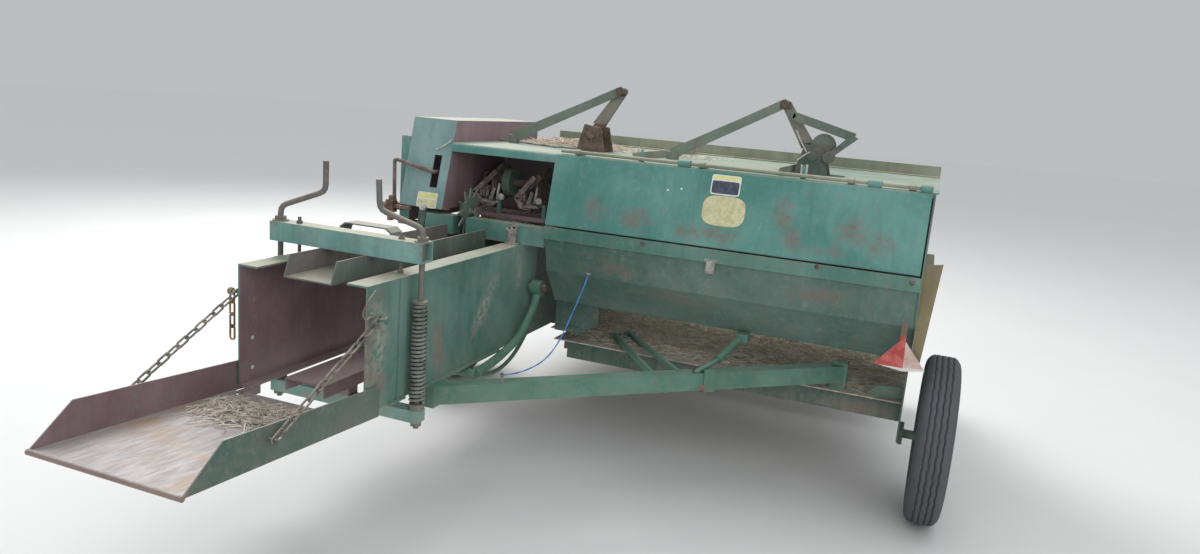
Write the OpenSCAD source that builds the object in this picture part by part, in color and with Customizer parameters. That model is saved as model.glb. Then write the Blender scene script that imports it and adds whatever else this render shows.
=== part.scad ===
// Square baler: a towed machine that gathers cut hay at the right front, packs it
// sideways into the bale case on the left, ties it with twine and pushes it out behind.
// Millimetres. +X to the machine's right, +Y forward, +Z up, ground at Z = 0.
// The modules work from the bale case: X = 0 at its middle, Y = 0 at its rear end.

/* [Bale case] */
// Inside width of the bale case
case_w = 482; // [440:2:500]
// Inside height of the bale case
case_h = 396; // [360:2:420]
// Height of the case floor above the ground
case_z = 476; // [450:2:520]
// Thickness of the rear side walls
wall_t = 6; // [4:1:8]
// Length of the rear walls, behind the tying place
rear_len = 1180; // [1120:10:1200]
// Radius of the round lower corner at the front of a rear wall
corner_r = 310; // [250:10:330]
// Where the whole case ends in front
case_len = 2960; // [2900:10:3000]
// Width of the flanges that turn in over the bale
lip_w = 71; // [50:1:80]
// Width of the lips below the bale
low_lip_w = 42; // [30:1:60]
// Width of the rail below the bale
low_rail_w = 156; // [120:2:180]
// How far the lower rail presses up into the case
low_rail_up = 50; // [20:2:60]

/* [Bale tension] */
// Distance of the cross beams from the rear end
beam_y = 200; // [180:5:240]
// Side of the square upper cross beam
beam_s = 66; // [55:1:75]
// Height of the channels that press on the bale
rail_h = 72; // [60:1:80]
// Half of the distance between the two screw rods
rod_x = 283; // [282:1:288]
// Radius of a screw rod
rod_r = 9.5; // [7:0.5:10]
// Radius of a tension spring
spring_r = 26; // [22:1:27]
// Length of a tension spring
spring_len = 340; // [280:10:360]
// Thickness of the spring wire
spring_wire = 9; // [7:0.5:11]

/* [Bale chute] */
// Length of the chute behind its hinge
chute_len = 685; // [500:5:800]
// Height of the chute's side walls
chute_h = 108; // [80:2:115]
// Slope of the chute when it is down
chute_tilt = 3.2; // [1:0.2:5]
// Thickness of the chute's sheet
chute_t = 4; // [3:1:5]
// Thickness of the chain wire
chain_d = 7; // [5:0.5:8]

/* [Needles and knotters] */
// Height of the needle pivot above the ground
pivot_z = 690; // [670:5:710]
// Radius of the needles about their pivot
needle_r = 400; // [380:5:420]
// Half of the distance between the two strings of a bale
string_x = 115; // [100:1:125]
// Radius of the star wheel that measures the bale
star_r = 102; // [85:1:105]

/* [Feeder housing] */
// Left end of the rear door and panels
hood_l = 340; // [320:5:360]
// Right end of the housing
hood_r = 1775; // [1650:5:1900]
// Height of the hood's top
hood_z = 1252; // [1200:2:1300]
// Height of the door's lower edge
door_z = 972; // [940:2:1000]
// Thickness of the sheet metal
sheet = 4; // [3:1:5]
// Height of the front beam above the hood
front_beam_h = 50; // [40:2:70]

/* [Running gear] */
// Tyre diameter
tyre_d = 640; // [600:5:700]
// Tyre width
tyre_w = 128; // [110:2:150]
// Rim diameter
rim_d = 381; // [330:1:400]
// Middle of the right wheel, out from the end of the hood
wheel_out = 127; // [115:1:175]
// Right wheel, forward of the rear end of the case
wheel_r_y = 1272; // [1240:2:1300]
// Left wheel, from the middle of the case
wheel_l_x = -440; // [-460:2:-420]
// Left wheel, forward of the rear end of the case
wheel_l_y = 1760; // [1740:5:1800]

/* [Pickup] */
// Radius to the tips of the pickup's tines
tine_r = 235; // [200:5:250]
// Radius of the stripper bands
band_r = 165; // [150:5:180]
// Number of tine bars
tine_bars = 4; // [3:1:6]
// Tines on each bar
tines = 20; // [12:1:24]
// Height of the pickup's shaft above the ground
reel_z = 330; // [320:5:380]

/* [Drawbar] */
// Distance of the hitch eye from the drawbar's pivot
drawbar_len = 1230; // [1000:10:1400]
// How far the drawbar points to the right, for towing on the road
drawbar_turn = 18; // [10:1:20]
// Flywheel diameter
flywheel_d = 500; // [420:10:520]
// Diameter of the hitch pin's hole
pin_d = 32; // [26:1:36]

/* [Hidden] */
$fn = 48;
gap = 0.3;                                  // seat clearance between separate pieces
run = 6;                                    // clearance of what moves past something
ci = case_w / 2;                            // inner face of the rear walls
co = ci + wall_t;                           // outer face of the rear walls
case_top_z = case_z + case_h;
deck = case_top_z + wall_t + gap;           // where the knotter base sits on the walls
beam_z = case_top_z - 20 + rail_h;          // underside of the upper cross beam
rod_y = beam_y + beam_s / 2;
low_beam_z = case_z - rail_h / 2 - 12;      // top of the lower cross beam
spring_z0 = low_beam_z + 21;
pivot_y = 1120;                             // needle pivot, just in front of the rear walls
knot_y = 1400;
knot_z = 1085;
star_y = 1114;
star_z = 968;
door_y = 1104;                              // hinge line of the hood door
door_foot_y = 1032;
hood_front = 2164;
case_sheet = 5;
cs = ci - case_sheet;                       // inner face of the main case
shield_l = -350;
shield_r = -140;
shield_front = 1922;
shield_top = 1346;
shield_low = 975;
shield_lean = 0.257;                        // how far the rear sheets come back for each unit down
floor_z = 446;                              // underside of the feeder floor
axle_top = floor_z;
axle_s = 82;                                // height of the axle beam
spindle_z = tyre_d / 2;
flywheel_y = case_len + 200;
flywheel_z = 720;
swing_y = case_len + 440;                            // drawbar pivot, below the drive joint
tongue_h = 70;
reel_y = 2570;
lift_y = 2208;                              // pickup hinge
lift_z = 414;
reel_l = 300;
reel_rt = hood_r - 75;
chute_y = -15;                              // chute hinge
chute_z = 456;
chute_x = co + run - 0.5;                   // inner face of the chute's side walls
chain_top = [25, 777];                      // y and z of the hook bolt
chain_foot = [-419, 545];
wheel_r_x = hood_r + wheel_out;
left_edge = wheel_l_x - tyre_w / 2;
right_edge = wheel_r_x + tyre_w / 2;
rear_edge = chute_y - chute_len * cos(chute_tilt) - 8;
eye_y = swing_y + drawbar_len * cos(drawbar_turn);
front_edge = eye_y + 52;

// The whole machine stands with the middle of its outline at the origin.
module place() {
    translate([-(left_edge + right_edge) / 2, -(rear_edge + front_edge) / 2, 0]) children();
}

// A round rod from a to b.
module rod(a, b, r) {
    d = b - a;
    translate(a) rotate([0, acos(d[2] / norm(d)), atan2(d[1], d[0])]) cylinder(r = r, h = norm(d));
}

// A round rod through several points, with a knuckle at each bend.
module bent(pts, r) {
    for (i = [0 : len(pts) - 2]) rod(pts[i], pts[i + 1], r);
    for (i = [1 : len(pts) - 2]) translate(pts[i]) sphere(r = r * 1.03);
}

// The points of a path with each corner rounded off from a distance d before it to d after it.
function toward(a, b, d) = a + (b - a) * d / norm(b - a);
function eased(pts, d, n = 5) = concat([pts[0]], [for (i = [1 : len(pts) - 2])
    let (a = toward(pts[i], pts[i - 1], d), b = toward(pts[i], pts[i + 1], d))
    for (k = [0 : n]) let (t = k / n) a * (1 - t) * (1 - t) + pts[i] * 2 * t * (1 - t) + b * t * t],
        [pts[len(pts) - 1]]);

// A plate across the machine: an outline of [y, z] points, from x0 to x1.
module across(x0, x1, pts) {
    translate([x0, 0, 0]) rotate([90, 0, 90]) linear_extrude(x1 - x0) polygon(pts);
}

// A plate that faces backward: an outline of [x, z] points, from y0 to y1.
module facing(y0, y1, pts) {
    translate([0, y1, 0]) rotate([90, 0, 0]) linear_extrude(y1 - y0) polygon(pts);
}

// The outline of a bar from a to b in a plane, half as wide as w0 at a and w1 at b to each side.
function strip(a, b, w0, w1) = let (d = (b - a) / norm(b - a), n = [-d[1], d[0]])
    [a + n * w0, a - n * w0, b - n * w1, b + n * w1];

module block(a, b) {
    translate([min(a[0], b[0]), min(a[1], b[1]), min(a[2], b[2])])
        cube([abs(b[0] - a[0]), abs(b[1] - a[1]), abs(b[2] - a[2])]);
}

// A cylinder along X.
module xcyl(x0, x1, y, z, r) {
    translate([x0, y, z]) rotate([0, 90, 0]) cylinder(r = r, h = x1 - x0);
}

// A cylinder along Y.
module ycyl(y0, y1, x, z, r) {
    translate([x, y1, z]) rotate([90, 0, 0]) cylinder(r = r, h = y1 - y0);
}

// How far forward the rear sheet of the knotter shield is at a height.
function shield_y(z) = door_y + (z - hood_z) * shield_lean;

function arc(cy, cz, r, a0, a1, n = 12) =
    [for (i = [0 : n]) [cy + r * cos(a0 + (a1 - a0) * i / n), cz + r * sin(a0 + (a1 - a0) * i / n)]];

// Rear side wall: plate with a round lower corner, a lip over the bale and one below it.
module bale_wall(side) {
    mirror([side < 0 ? 1 : 0, 0, 0]) {
        across(ci, co, concat([[0, case_top_z + wall_t], [0, case_z - wall_t],
            [rear_len - corner_r, case_z - wall_t]],
            arc(rear_len - corner_r, case_z - wall_t + corner_r, corner_r, -90, 0),
            [[rear_len, case_top_z + wall_t]]));
        block([ci - lip_w, 0, case_top_z], [ci, rear_len - 180, case_top_z + wall_t]);
        block([ci - low_lip_w, 0, case_z - wall_t], [ci, 860, case_z]);
        block([co, beam_y - 35, case_z - wall_t], [co + 5, beam_y + 5, case_top_z + wall_t]);
        for (r = [[118, rod_y - 30], [rod_y + 30, 860]])
            block([co, r[0], case_z - wall_t], [co + 14, r[1], case_z]);
        xcyl(co, co + 70, pivot_y, pivot_z, 12);
        xcyl(co, co + 58, chain_top[0], chain_top[1], bolt_r);
        xcyl(co + 52, co + 58, chain_top[0], chain_top[1], 12);
        difference() {
            block([210, -30, case_z - wall_t - 34], [218, 60, case_z - wall_t]);
            xcyl(209, 219, chute_y, chute_z, 6 + gap);
        }
    }
}
module bale_wall_left() { color([0.30, 0.20, 0.19]) bale_wall(-1); }
module bale_wall_right() { color([0.29, 0.45, 0.39]) bale_wall(1); }

// Rail under the bale, open downwards, on a block on the lower beam and with its front end on the case floor.
module lower_tension_rail() {
    w = low_rail_w / 2;
    top = case_z + low_rail_up;
    slope = rear_len - gap;
    color([0.20, 0.18, 0.17]) {
        across(-w, w, [[25, top - 6], [25, top], [1000, top], [slope, case_z], [slope, case_z - wall_t],
            [998, top - 6]]);
        for (x = [-w, w - 6]) across(x, x + 6, [[25, top - 42], [25, top], [1000, top], [slope, case_z],
            [slope, case_z - wall_t], [1030, top - 42]]);
        block([-30, beam_y + 8, low_beam_z], [30, beam_y + 58, top - 5]);
    }
}

// Channel on the bale, open upwards, with slanted rear ends.
module upper_tension_rail() {
    z = case_top_z - 20;
    strap = [for (p = [[-97, 0], [-114, 34], [-104, 62], [-84, 76], [84, 76], [104, 62], [114, 34],
        [97, 0]]) p + [0, z + rail_h]];
    color([0.31, 0.46, 0.40]) {
        block([-92, 30, z], [92, 1000, z + 5]);
        for (s = [-1, 1])
            across(s < 0 ? -92 : 87, s < 0 ? -87 : 92,
                [[30, z + 5], [1000, z + 5], [1000, z + rail_h], [56, z + rail_h]]);
        facing(318, 382, concat(strap,
            [for (i = [len(strap) - 1 : -1 : 0]) strap[i] * 0.95 + [0, 45.5]]));
    }
}

module upper_cross_beam() {
    color([0.33, 0.50, 0.43]) difference() {
        block([-rod_x - 18, beam_y, beam_z], [rod_x + 18, beam_y + beam_s, beam_z + beam_s]);
        block([-rod_x - 19, beam_y + 5, beam_z + 5],
            [rod_x + 19, beam_y + beam_s - 5, beam_z + beam_s - 5]);
        for (s = [-1, 1]) {
            translate([s * rod_x, rod_y, beam_z - 1]) cylinder(r = rod_r + gap, h = beam_s + 2);
            translate([s * guide_x, rod_y, beam_z - 1]) cylinder(r = guide_r + gap, h = beam_s + 2);
        }
    }
}

module lower_cross_beam() {
    color([0.30, 0.40, 0.35]) difference() {
        block([-rod_x - 18, beam_y + 8, low_beam_z - 42], [rod_x + 18, beam_y + 58, low_beam_z]);
        for (s = [-1, 1]) translate([s * rod_x, rod_y, low_beam_z - 43])
            cylinder(r = rod_r + gap, h = 44);
    }
}

// Screw rods with their nuts and bent crank handles, and a guide bolt beside each rod.
guide_x = 203;
guide_r = 6;
// Each crank: its side, the height where the rod bends, and the two ends of its upright handle.
cranks = [
    [-1, 1040, [-109, 247, 1108], [-112, 250, 1208]],
    [1, 1032, [131, 212, 1079], [130, 205, 1176]]];
module tension_cranks() {
    top = beam_z + beam_s;
    color([0.36, 0.40, 0.34]) for (c = cranks) {
        s = c[0];
        x = s * rod_x;
        bent(eased([[x, rod_y, low_beam_z - 66], [x, rod_y, c[1]], c[2], c[3]], 24, 3), rod_r);
        translate([x, rod_y, top]) cylinder(r = 27, h = 4);
        translate([x, rod_y, top]) cylinder(r = 20, h = 16, $fn = 6);
        translate([x, rod_y, low_beam_z - 56]) cylinder(r = 20, h = 14, $fn = 6);
        translate([x, rod_y, spring_z0 + spring_len]) cylinder(r = spring_r - 1, h = 8);
        translate([x, rod_y, low_beam_z]) cylinder(r = spring_r - 1, h = 21);
        translate([s * guide_x, rod_y, case_top_z + wall_t])
            cylinder(r = guide_r, h = top + 22 - case_top_z - wall_t);
        for (z = [case_top_z + wall_t, top]) translate([s * guide_x, rod_y, z])
            cylinder(r = 11, h = 9, $fn = 6);
    }
}

// Close-wound spring, as a tube with one round ring for each turn.
module tension_springs() {
    turns = floor(spring_len / (spring_wire * 1.35));
    pitch = spring_len / turns;
    color([0.28, 0.28, 0.26]) for (s = [-1, 1]) translate([s * rod_x, rod_y, spring_z0])
        rotate_extrude() {
            translate([spring_r - spring_wire, 0]) square([spring_wire / 2, spring_len]);
            for (i = [0 : turns - 1]) translate([spring_r - spring_wire / 2, (i + 0.5) * pitch])
                circle(d = spring_wire, $fn = 24);
        }
}

// Main case: its right wall is open where the feeder pushes the hay in.
feed_y0 = 1560;
feed_y1 = 2130;
module case_wall_left() {
    color([0.29, 0.42, 0.37]) {
        block([-ci, 900, case_z - wall_t], [-cs, case_len, case_top_z]);
        block([-ci - 40, 1300, case_top_z - 6], [-ci, case_len, case_top_z]);
        block([-ci - 8, pivot_y + 66, pivot_z - 60], [-ci, pivot_y + 160, pivot_z + 60]);
    }
}
module case_wall_right() {
    color([0.27, 0.40, 0.35]) {
        difference() {
            block([cs, 900, case_z - wall_t], [ci, case_len, case_top_z]);
            block([cs - 1, feed_y0, case_z + 20], [ci + 1, feed_y1, case_top_z - 12]);
        }
    }
}

// Floor of the main case, with a slot for each needle.
module case_floor() {
    color([0.24, 0.25, 0.22]) difference() {
        block([-cs, rear_len, case_z - wall_t], [cs, case_len, case_z]);
        for (s = [-1, 1]) block([s * string_x - 16, 1400, case_z - 20],
            [s * string_x + 16, 1540, case_z + 20]);
    }
}

// Top of the case in front of the knotters.
module case_top() {
    color([0.28, 0.42, 0.36]) {
        block([-ci, 1600, case_top_z], [ci, case_len - 420, case_top_z + sheet]);
        for (s = [-1, 1]) block([s > 0 ? cs - 40 : -ci, 1004, case_top_z],
            [s > 0 ? ci : -cs + 40, 1600, case_top_z + sheet]);
        block([-ci, case_len - 60, case_top_z], [ci, case_len, case_top_z + 40]);
    }
}

// Needle frame: two bent arms from the pivot, a cross tube and the curved needles.
needle_home = -44;                          // angle of the tips below the pivot
needle_arc = 76;
module needle_frame() {
    arm_x = co + 40;
    foot = [618, case_z - wall_t - run - 18];
    color([0.31, 0.47, 0.40]) {
        for (s = [-1, 1]) {
            bent(eased([for (p = [[pivot_y - 5, pivot_z - 28], [1096, 612], [960, 502], [790, 462],
                foot]) [s * arm_x, p[0], p[1]]], 45, 3), 17);
            translate([s * arm_x, pivot_y, pivot_z]) rotate([0, 90, 0]) difference() {
                cylinder(r = 32, h = 44, center = true);
                cylinder(r = 12 + gap, h = 60, center = true);
            }
        }
        xcyl(-arm_x, arm_x, foot[0], foot[1], 18);
    }
    color([0.35, 0.30, 0.25]) for (s = [-1, 1]) translate([s * string_x, 0, 0]) {
        translate([0, pivot_y, pivot_z]) rotate([90, 0, 90])
            rotate_extrude(angle = needle_arc, start = needle_home - needle_arc)
                translate([needle_r, 0]) circle(r = 9, $fn = 24);
        bent([[0, foot[0], foot[1]], [0, 740, 385],
            [0, pivot_y - needle_r * cos(60), pivot_z - needle_r * sin(60)]], 11);
    }
}

// Beam behind the knotters with the gap for the star wheel, and the pivot pins of the needles.
module knotter_base() {
    z0 = deck;
    z1 = z0 + 76;
    color([0.30, 0.45, 0.39]) {
        block([-ci, 1030, z0], [-82, 1096, z1]);
        block([-20, 1030, z0], [hood_l - gap, 1096, z1]);
        block([-ci, 1096, z1 - 18], [-ci + 30, 1590, z1]);
        block([hood_l - 36, 1096, z1 - 18], [hood_l - gap, 1590, z1]);
        block([-ci, 1560, z0], [hood_l - gap, 1590, z1 - 18]);
        block([shield_r + 6, 1590, z0], [hood_l - gap, 1594, hood_z - gap]);
        for (y = [1284, 1450]) block([-ci + 30, y, z1 - 18], [hood_l - 36, y + 26, z1]);
        block([-400, 1100, z0], [-ci, 1150, z0 + 18]);
        for (x = [-88, -20]) difference() {
            block([x, 1096, z0 + 50], [x + 6, 1134, 990]);
            xcyl(x - 1, x + 7, star_y, star_z, 4);
        }
        xcyl(-88, -14, star_y, star_z, 8);
    }
}

// One knotter on its shaft: cam disc, frame casting, bill hook, twine disc and knife arm.
module knotter(x) {
    z0 = deck + 76;
    frame = [[0, 1136], [-92, 1031], [-30, 968]];
    color([0.36, 0.25, 0.19]) translate([x, 0, 0]) {
        difference() {
            union() {
                xcyl(-60, -16, knot_y, knot_z, 30);
                translate([-16, knot_y, knot_z]) rotate([90, 0, 90]) linear_extrude(12) difference() {
                    circle(r = 84);
                    for (a = [40, 100, 160]) rotate(a) translate([58, 0]) circle(r = 14);
                    rotate(-115) translate([58, -20]) square([60, 40]);
                }
            }
            xcyl(-80, 10, knot_y, knot_z, 17 + gap);
        }
        for (i = [0, 1]) facing(1296, 1312, strip(frame[i], frame[i + 1], 11, 9));
        facing(1296, 1312, strip(frame[2], [12, 1010], 8, 7));
        rod([-4, 1304, 1130], [-30, knot_y - 26, knot_z + 6], 9);
        rod([-76, 1304, 1040], [-50, knot_y - 20, knot_z - 18], 9);
        ycyl(1280, 1296, frame[1][0] + 14, frame[1][1], 13);
        xcyl(-70, -8, 1304, 1004, 7);
        xcyl(-76, -68, 1304, 1004, 26);
        rod([-40, 1300, 1062], [-34, 1284, 978], 7);
        rod([-34, 1284, 978], [-62, 1280, 968], 5);
        rod([-14, 1302, 1116], [-12, 1302, 1004], 6);
        block([20, 1288, z0], [36, 1304, 1012]);
        facing(1290, 1302, strip([12, 1010], [30, 1008], 7, 7));
    }
}
module knotter_left() { knotter(-string_x + 80); }
module knotter_right() { knotter(string_x + 70); }

// Shaft across both knotters with its drive hub and the round trip disc.
module knotter_shaft() {
    z0 = deck + 76;
    color([0.40, 0.33, 0.26]) {
        xcyl(shield_l + sheet, hood_l - 16, knot_y, knot_z, 17);
        xcyl(shield_r + 8, shield_r + 22, knot_y, knot_z, 40);
    }
    color([0.30, 0.45, 0.39]) {
        xcyl(-26, 12, knot_y, knot_z, 62);
        difference() {
            block([hood_l - 16, knot_y - 30, z0], [hood_l - 4, knot_y + 30, knot_z + 40]);
            xcyl(hood_l - 17, hood_l - 3, knot_y, knot_z, 10);
        }
    }
}

// Sheet box over the knotter drive, open below.
module knotter_shield() {
    sides = [[shield_l, deck + 18 + gap, 1100], [shield_r - sheet, shield_low, 1100]];
    color([0.30, 0.45, 0.38]) {
        difference() {
            across(shield_l, shield_r, [[shield_y(shield_low), shield_low],
                [shield_y(shield_low) + sheet, shield_low],
                [shield_y(shield_top) + sheet, shield_top], [shield_y(shield_top), shield_top]]);
            block([-219, 1000, 1060], [-183, 1200, 1196]);
        }
        block([shield_l, shield_y(shield_top), shield_top - sheet], [shield_r, shield_front, shield_top]);
        difference() {
            for (s = sides) across(s[0], s[0] + sheet,
                [[shield_y(shield_low), shield_low], [s[2], shield_low - 10],
                [s[2], s[1]], [shield_front, s[1]], [shield_front, shield_top],
                    [shield_y(shield_top), shield_top]]);
            block([shield_r - 10, 1200, 0], [shield_r + 10, shield_front + 1, 1000]);
            xcyl(shield_r - 10, shield_r + 10, knot_y, knot_z, 24);
        }
    }
}

// Trip arm with its clamps, its post and the hand hook.
module trip_arm() {
    z0 = deck + 18 + gap;
    color([0.42, 0.30, 0.22]) {
        bent(eased([[-381, 1062, 962], [-384, 1044, 990], [-389, 1044, 1165], [-204, 1054, 1126],
            [-200, 1112, 1124]], 18, 3), 8);
        block([-400, 1056, 945], [-360, 1104, 975]);
    }
    color([0.31, 0.46, 0.40]) {
        block([-396, 1104, z0], [-352, 1110, 1262]);
        block([-396, 1110, z0], [-392, 1140, 1262]);
    }
}

// Star wheel that the bale turns as it moves back.
module measuring_wheel() {
    color([0.38, 0.30, 0.24]) translate([-51, star_y, star_z]) rotate([0, 90, 0]) difference() {
        union() {
            cylinder(r = star_r * 0.62, h = 6, center = true);
            cylinder(r = 16, h = 22, center = true);
            for (i = [0 : 11]) rotate(i * 30) linear_extrude(6, center = true)
                polygon([[star_r * 0.58, -14], [star_r, -2], [star_r, 2], [star_r * 0.58, 14]]);
        }
        cylinder(r = 8 + gap, h = 40, center = true);
    }
}

// Hood over the feeder, with a slot for each packer arm and a lip turned down behind.
fork_y = 1500;
module hood_top() {
    color([0.28, 0.44, 0.38]) {
        difference() {
            block([shield_r + gap, door_y + 8, hood_z], [hood_r + 15, hood_front, hood_z + sheet]);
            block([150, fork_y - 60, hood_z - 1], [400, fork_y + 60, hood_z + sheet + 1]);
            block([1170, fork_y - 60, hood_z - 1], [1430, fork_y + 60, hood_z + sheet + 1]);
        }
        block([hood_l, door_y + 8, hood_z - 16], [hood_r, door_y + 12, hood_z]);
        across(shield_r + gap, hood_l - gap, concat([[door_y - 10, hood_z - 34]],
            arc(door_y + 8, hood_z - 14, 18, 180, 90),
            [[door_y + 12, hood_z + 4], [door_y + 12, hood_z]], arc(door_y + 8, hood_z - 14, 14, 90, 180),
                [[door_y - 6, hood_z - 34]]));
        for (x = [693, 1318]) translate([x, door_y + 22, hood_z + sheet]) {
            cylinder(r = 5, h = 48);
            cylinder(r = 11, h = 8, $fn = 6);
        }
        block([shield_r + gap, hood_front - 40, hood_z - 60], [hood_r, hood_front - 34, hood_z]);
    }
}

// Door on the hood's rear: sloped sheet with a rolled top, side flanges and hinge knuckles.
hinge_z = hood_z + 16;
knuckles = [[850, 48], [hood_r - 225, 48], [hood_r - 47, 40]];
module hood_door() {
    t = sheet;
    color([0.31, 0.48, 0.41]) difference() {
        union() {
            across(hood_l, hood_r - run, concat([[door_foot_y, door_z]],
                arc(door_y + 2, hinge_z - 24, 12, 180, 90, 6),
                arc(door_y + 2, hinge_z - 24, 12 - t, 90, 180, 6), [[door_foot_y + t, door_z]]));
            across(hood_l, hood_r - run, [[door_foot_y, door_z], [door_foot_y + 22, door_z],
                [door_foot_y + 22, door_z + t], [door_foot_y, door_z + t]]);
            for (x = [hood_l, hood_r - run - t]) across(x, x + t, [[door_y - 10 + t, hinge_z - 40],
                [door_y - 2, hood_z - 50], [door_foot_y + 20, door_z], [door_foot_y + t, door_z]]);
            for (k = knuckles) xcyl(k[0], k[0] + k[1], door_y, hinge_z, 14);
        }
        xcyl(hood_l - 1, hood_r + 1, door_y, hinge_z, 7 + gap);
    }
}

// Hinge rod of the door, on blocks that stand on the hood, and the rail below the door.
module rear_rail() {
    color([0.30, 0.46, 0.39]) {
        block([hood_l, 1022, 916], [hood_r, 1028, door_z - run]);
        block([hood_l, 1028, 916], [hood_r, 1062, 922]);
    }
    color([0.35, 0.30, 0.24]) across(1020, 1052,
        [[1022, 924], [1014, 924], [1004, 886], [1010, 876], [1022, 908]]);
}
panel_foot_y = wheel_r_y - 100;
module rear_panels() {
    color([0.28, 0.45, 0.37]) {
        across(hood_l + 8, hood_r, [[1030, 916], [1034, 916], [1063, 784], [panel_foot_y + 5, 636],
            [panel_foot_y, 636], [1059, 782]]);
    }
}

module end_plate() {
    color([0.27, 0.43, 0.37]) {
        difference() {
            across(hood_r, hood_r + 6, [[door_y + 8, hood_z], [door_foot_y, 966], [1022, 916],
                [1056, 782],
                [panel_foot_y - 2, 636], [wheel_r_y - 62, 300], [wheel_r_y + 68, 300],
                [wheel_r_y + 108, floor_z - 20], [hood_front, floor_z - 20], [hood_front, hood_z]]);
        }
        xcyl(hood_r + 6, wheel_r_x + 38, wheel_r_y, spindle_z, 17);
        xcyl(hood_r + 6, hood_r + 22, wheel_r_y, spindle_z, 44);
    }
}

// Floor that the hay slides along, with its front and rear edges turned.
arm_clear_y = 1392;                         // the needle arms swing down behind this
module feeder_floor() {
    color([0.36, 0.33, 0.28]) {
        block([ci + gap, arm_clear_y, floor_z], [hood_r - gap, hood_front, floor_z + 4]);
        block([330, wheel_r_y - 40, floor_z], [hood_r - gap, arm_clear_y, floor_z + 4]);
        block([ci + gap, hood_front - 4, floor_z - 60], [hood_r - gap, hood_front, floor_z]);
        for (x = [reel_l + 10, reel_rt - 22]) block([x, hood_front, floor_z - 60],
            [x + 12, lift_y + 24, floor_z - 4]);
        for (x = [reel_l - 14, reel_rt - 22]) xcyl(x, x + 36, lift_y, lift_z, 12);
        facing(wheel_r_y - 10, wheel_r_y - 4, [[hood_r - 139, floor_z + 4], [hood_r - gap, floor_z + 4],
            [hood_r - gap, floor_z + 56], [hood_r - 95, floor_z + 48]]);
    }
}

module front_beam() {
    color([0.31, 0.47, 0.40]) {
        block([shield_r + 20, hood_front - 5, hood_z + sheet],
            [hood_r + 15, hood_front, hood_z + sheet + front_beam_h]);
        block([shield_r + 20, hood_front - 60, hood_z + sheet],
            [hood_r + 15, hood_front - 5, hood_z + sheet + 5]);
        for (x = [640, 1222]) block([x, door_y + 60, hood_z + sheet],
            [x + 6, hood_front - 60, hood_z + sheet + 30]);
    }
    color([0.36, 0.30, 0.25]) {
        xcyl(hood_l + 20, hood_r - 6, door_y, hinge_z, 7);
        for (x = [420, 930, hood_r - 295, hood_r - 85]) difference() {
            union() {
                xcyl(x, x + 22, door_y, hinge_z, 10);
                across(x, x + 22, [[door_y, hinge_z + 6], [door_y, hinge_z + 10],
                    [door_y + 18, hinge_z + 10], [door_y + 60, hood_z + sheet + 3],
                    [door_y + 60, hood_z + sheet], [door_y + 9, hood_z + sheet],
                        [door_y + 7, hinge_z - 4]]);
            }
            xcyl(x - 1, x + 23, door_y, hinge_z, 7 + gap);
        }
    }
}

// Packer: long link, arm from the top joint down through the hood, and its tine.
module feeder_fork(dx, foot, side) {
    top = [458 + dx, 1524];
    hand = [top[0] + side * 104, 1366];
    color([0.33, 0.44, 0.37]) {
        facing(fork_y - 34, fork_y - 30, strip(foot, top, 22, 17));
        facing(fork_y - 30, fork_y - 14, [foot + [-14, 12], foot + [2, 14], top + [0, 19],
            top + [-16, 14]]);
        facing(fork_y - 12, fork_y - 4, strip(top, hand, 18, 26));
        facing(fork_y + 4, fork_y + 12, strip(top, hand, 18, 26));
    }
    ycyl(fork_y - 42, fork_y + 20, top[0], top[1], 15);
}
module fork_base(x, lean) {
    color([0.37, 0.29, 0.22]) {
        for (y = [fork_y - 60, fork_y + 48]) facing(y, y + 12,
            [[x - 66, hood_z + sheet], [x + 66, hood_z + sheet],
            [x + 40, 1362], [x - 34, 1372]]);
        ycyl(fork_y - 66, fork_y + 66, x, 1330, 19);
        bent([[x, fork_y, 1372], [x - lean * 0.2, fork_y, 1230], [x - lean * 0.5, fork_y, 900],
            [x - lean, fork_y + 10, 560]], 16);
    }
}

module feeder_fork_left() {
    feeder_fork(0, [-46, 1284], -1);
    fork_base(346, -45);
    color([0.31, 0.46, 0.40]) block([-66, fork_y - 40, hood_z + sheet], [-26, fork_y - 10, 1292]);
}
module feeder_fork_right() {
    feeder_fork(708, [712, 1280], 1);
    color([0.31, 0.46, 0.40]) block([690, fork_y - 40, hood_z + sheet], [738, fork_y - 10, 1288]);
    fork_base(1300, 60);
    color([0.37, 0.29, 0.22]) {
        ycyl(fork_y - 76, fork_y - 60, 1367, 1330, 24);
        facing(fork_y - 76, fork_y - 62, [[1350, 1330], [1384, 1336], [1470, 1412], [1440, 1424]]);
    }
}

// Shield over the drive at the right end, bent outwards.
module drive_shield() {
    x0 = hood_r + 6;
    color([0.66, 0.56, 0.25]) {
        facing(1052, 1056, [[x0, 660], [x0 + 32, 660], [x0 + 58, 1020], [x0, 1010]]);
        block([x0 + 28, 1056, 660], [x0 + 32, 1700, 960]);
        block([x0, 1056, 960], [x0 + 32, 1700, 964]);
    }
}

// Axle beam below the feeder floor, and the left wheel's bracket.
module axle_beam() {
    color([0.30, 0.43, 0.36]) {
        block([380, wheel_r_y - 2, axle_top - axle_s], [hood_r, wheel_r_y + 80, axle_top]);
        block([330, wheel_r_y + 80, axle_top - 70], [380, 1700, axle_top]);
        block([180, 1640, axle_top - 36], [330, 1700, axle_top]);
    }
}

// Beam from the rear of the case to the right end of the axle, with three struts forward.
brace_a = [co + 4, 372, case_z - 41];
brace_b = [hood_r - 243, wheel_r_y + 10, 512];
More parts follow.
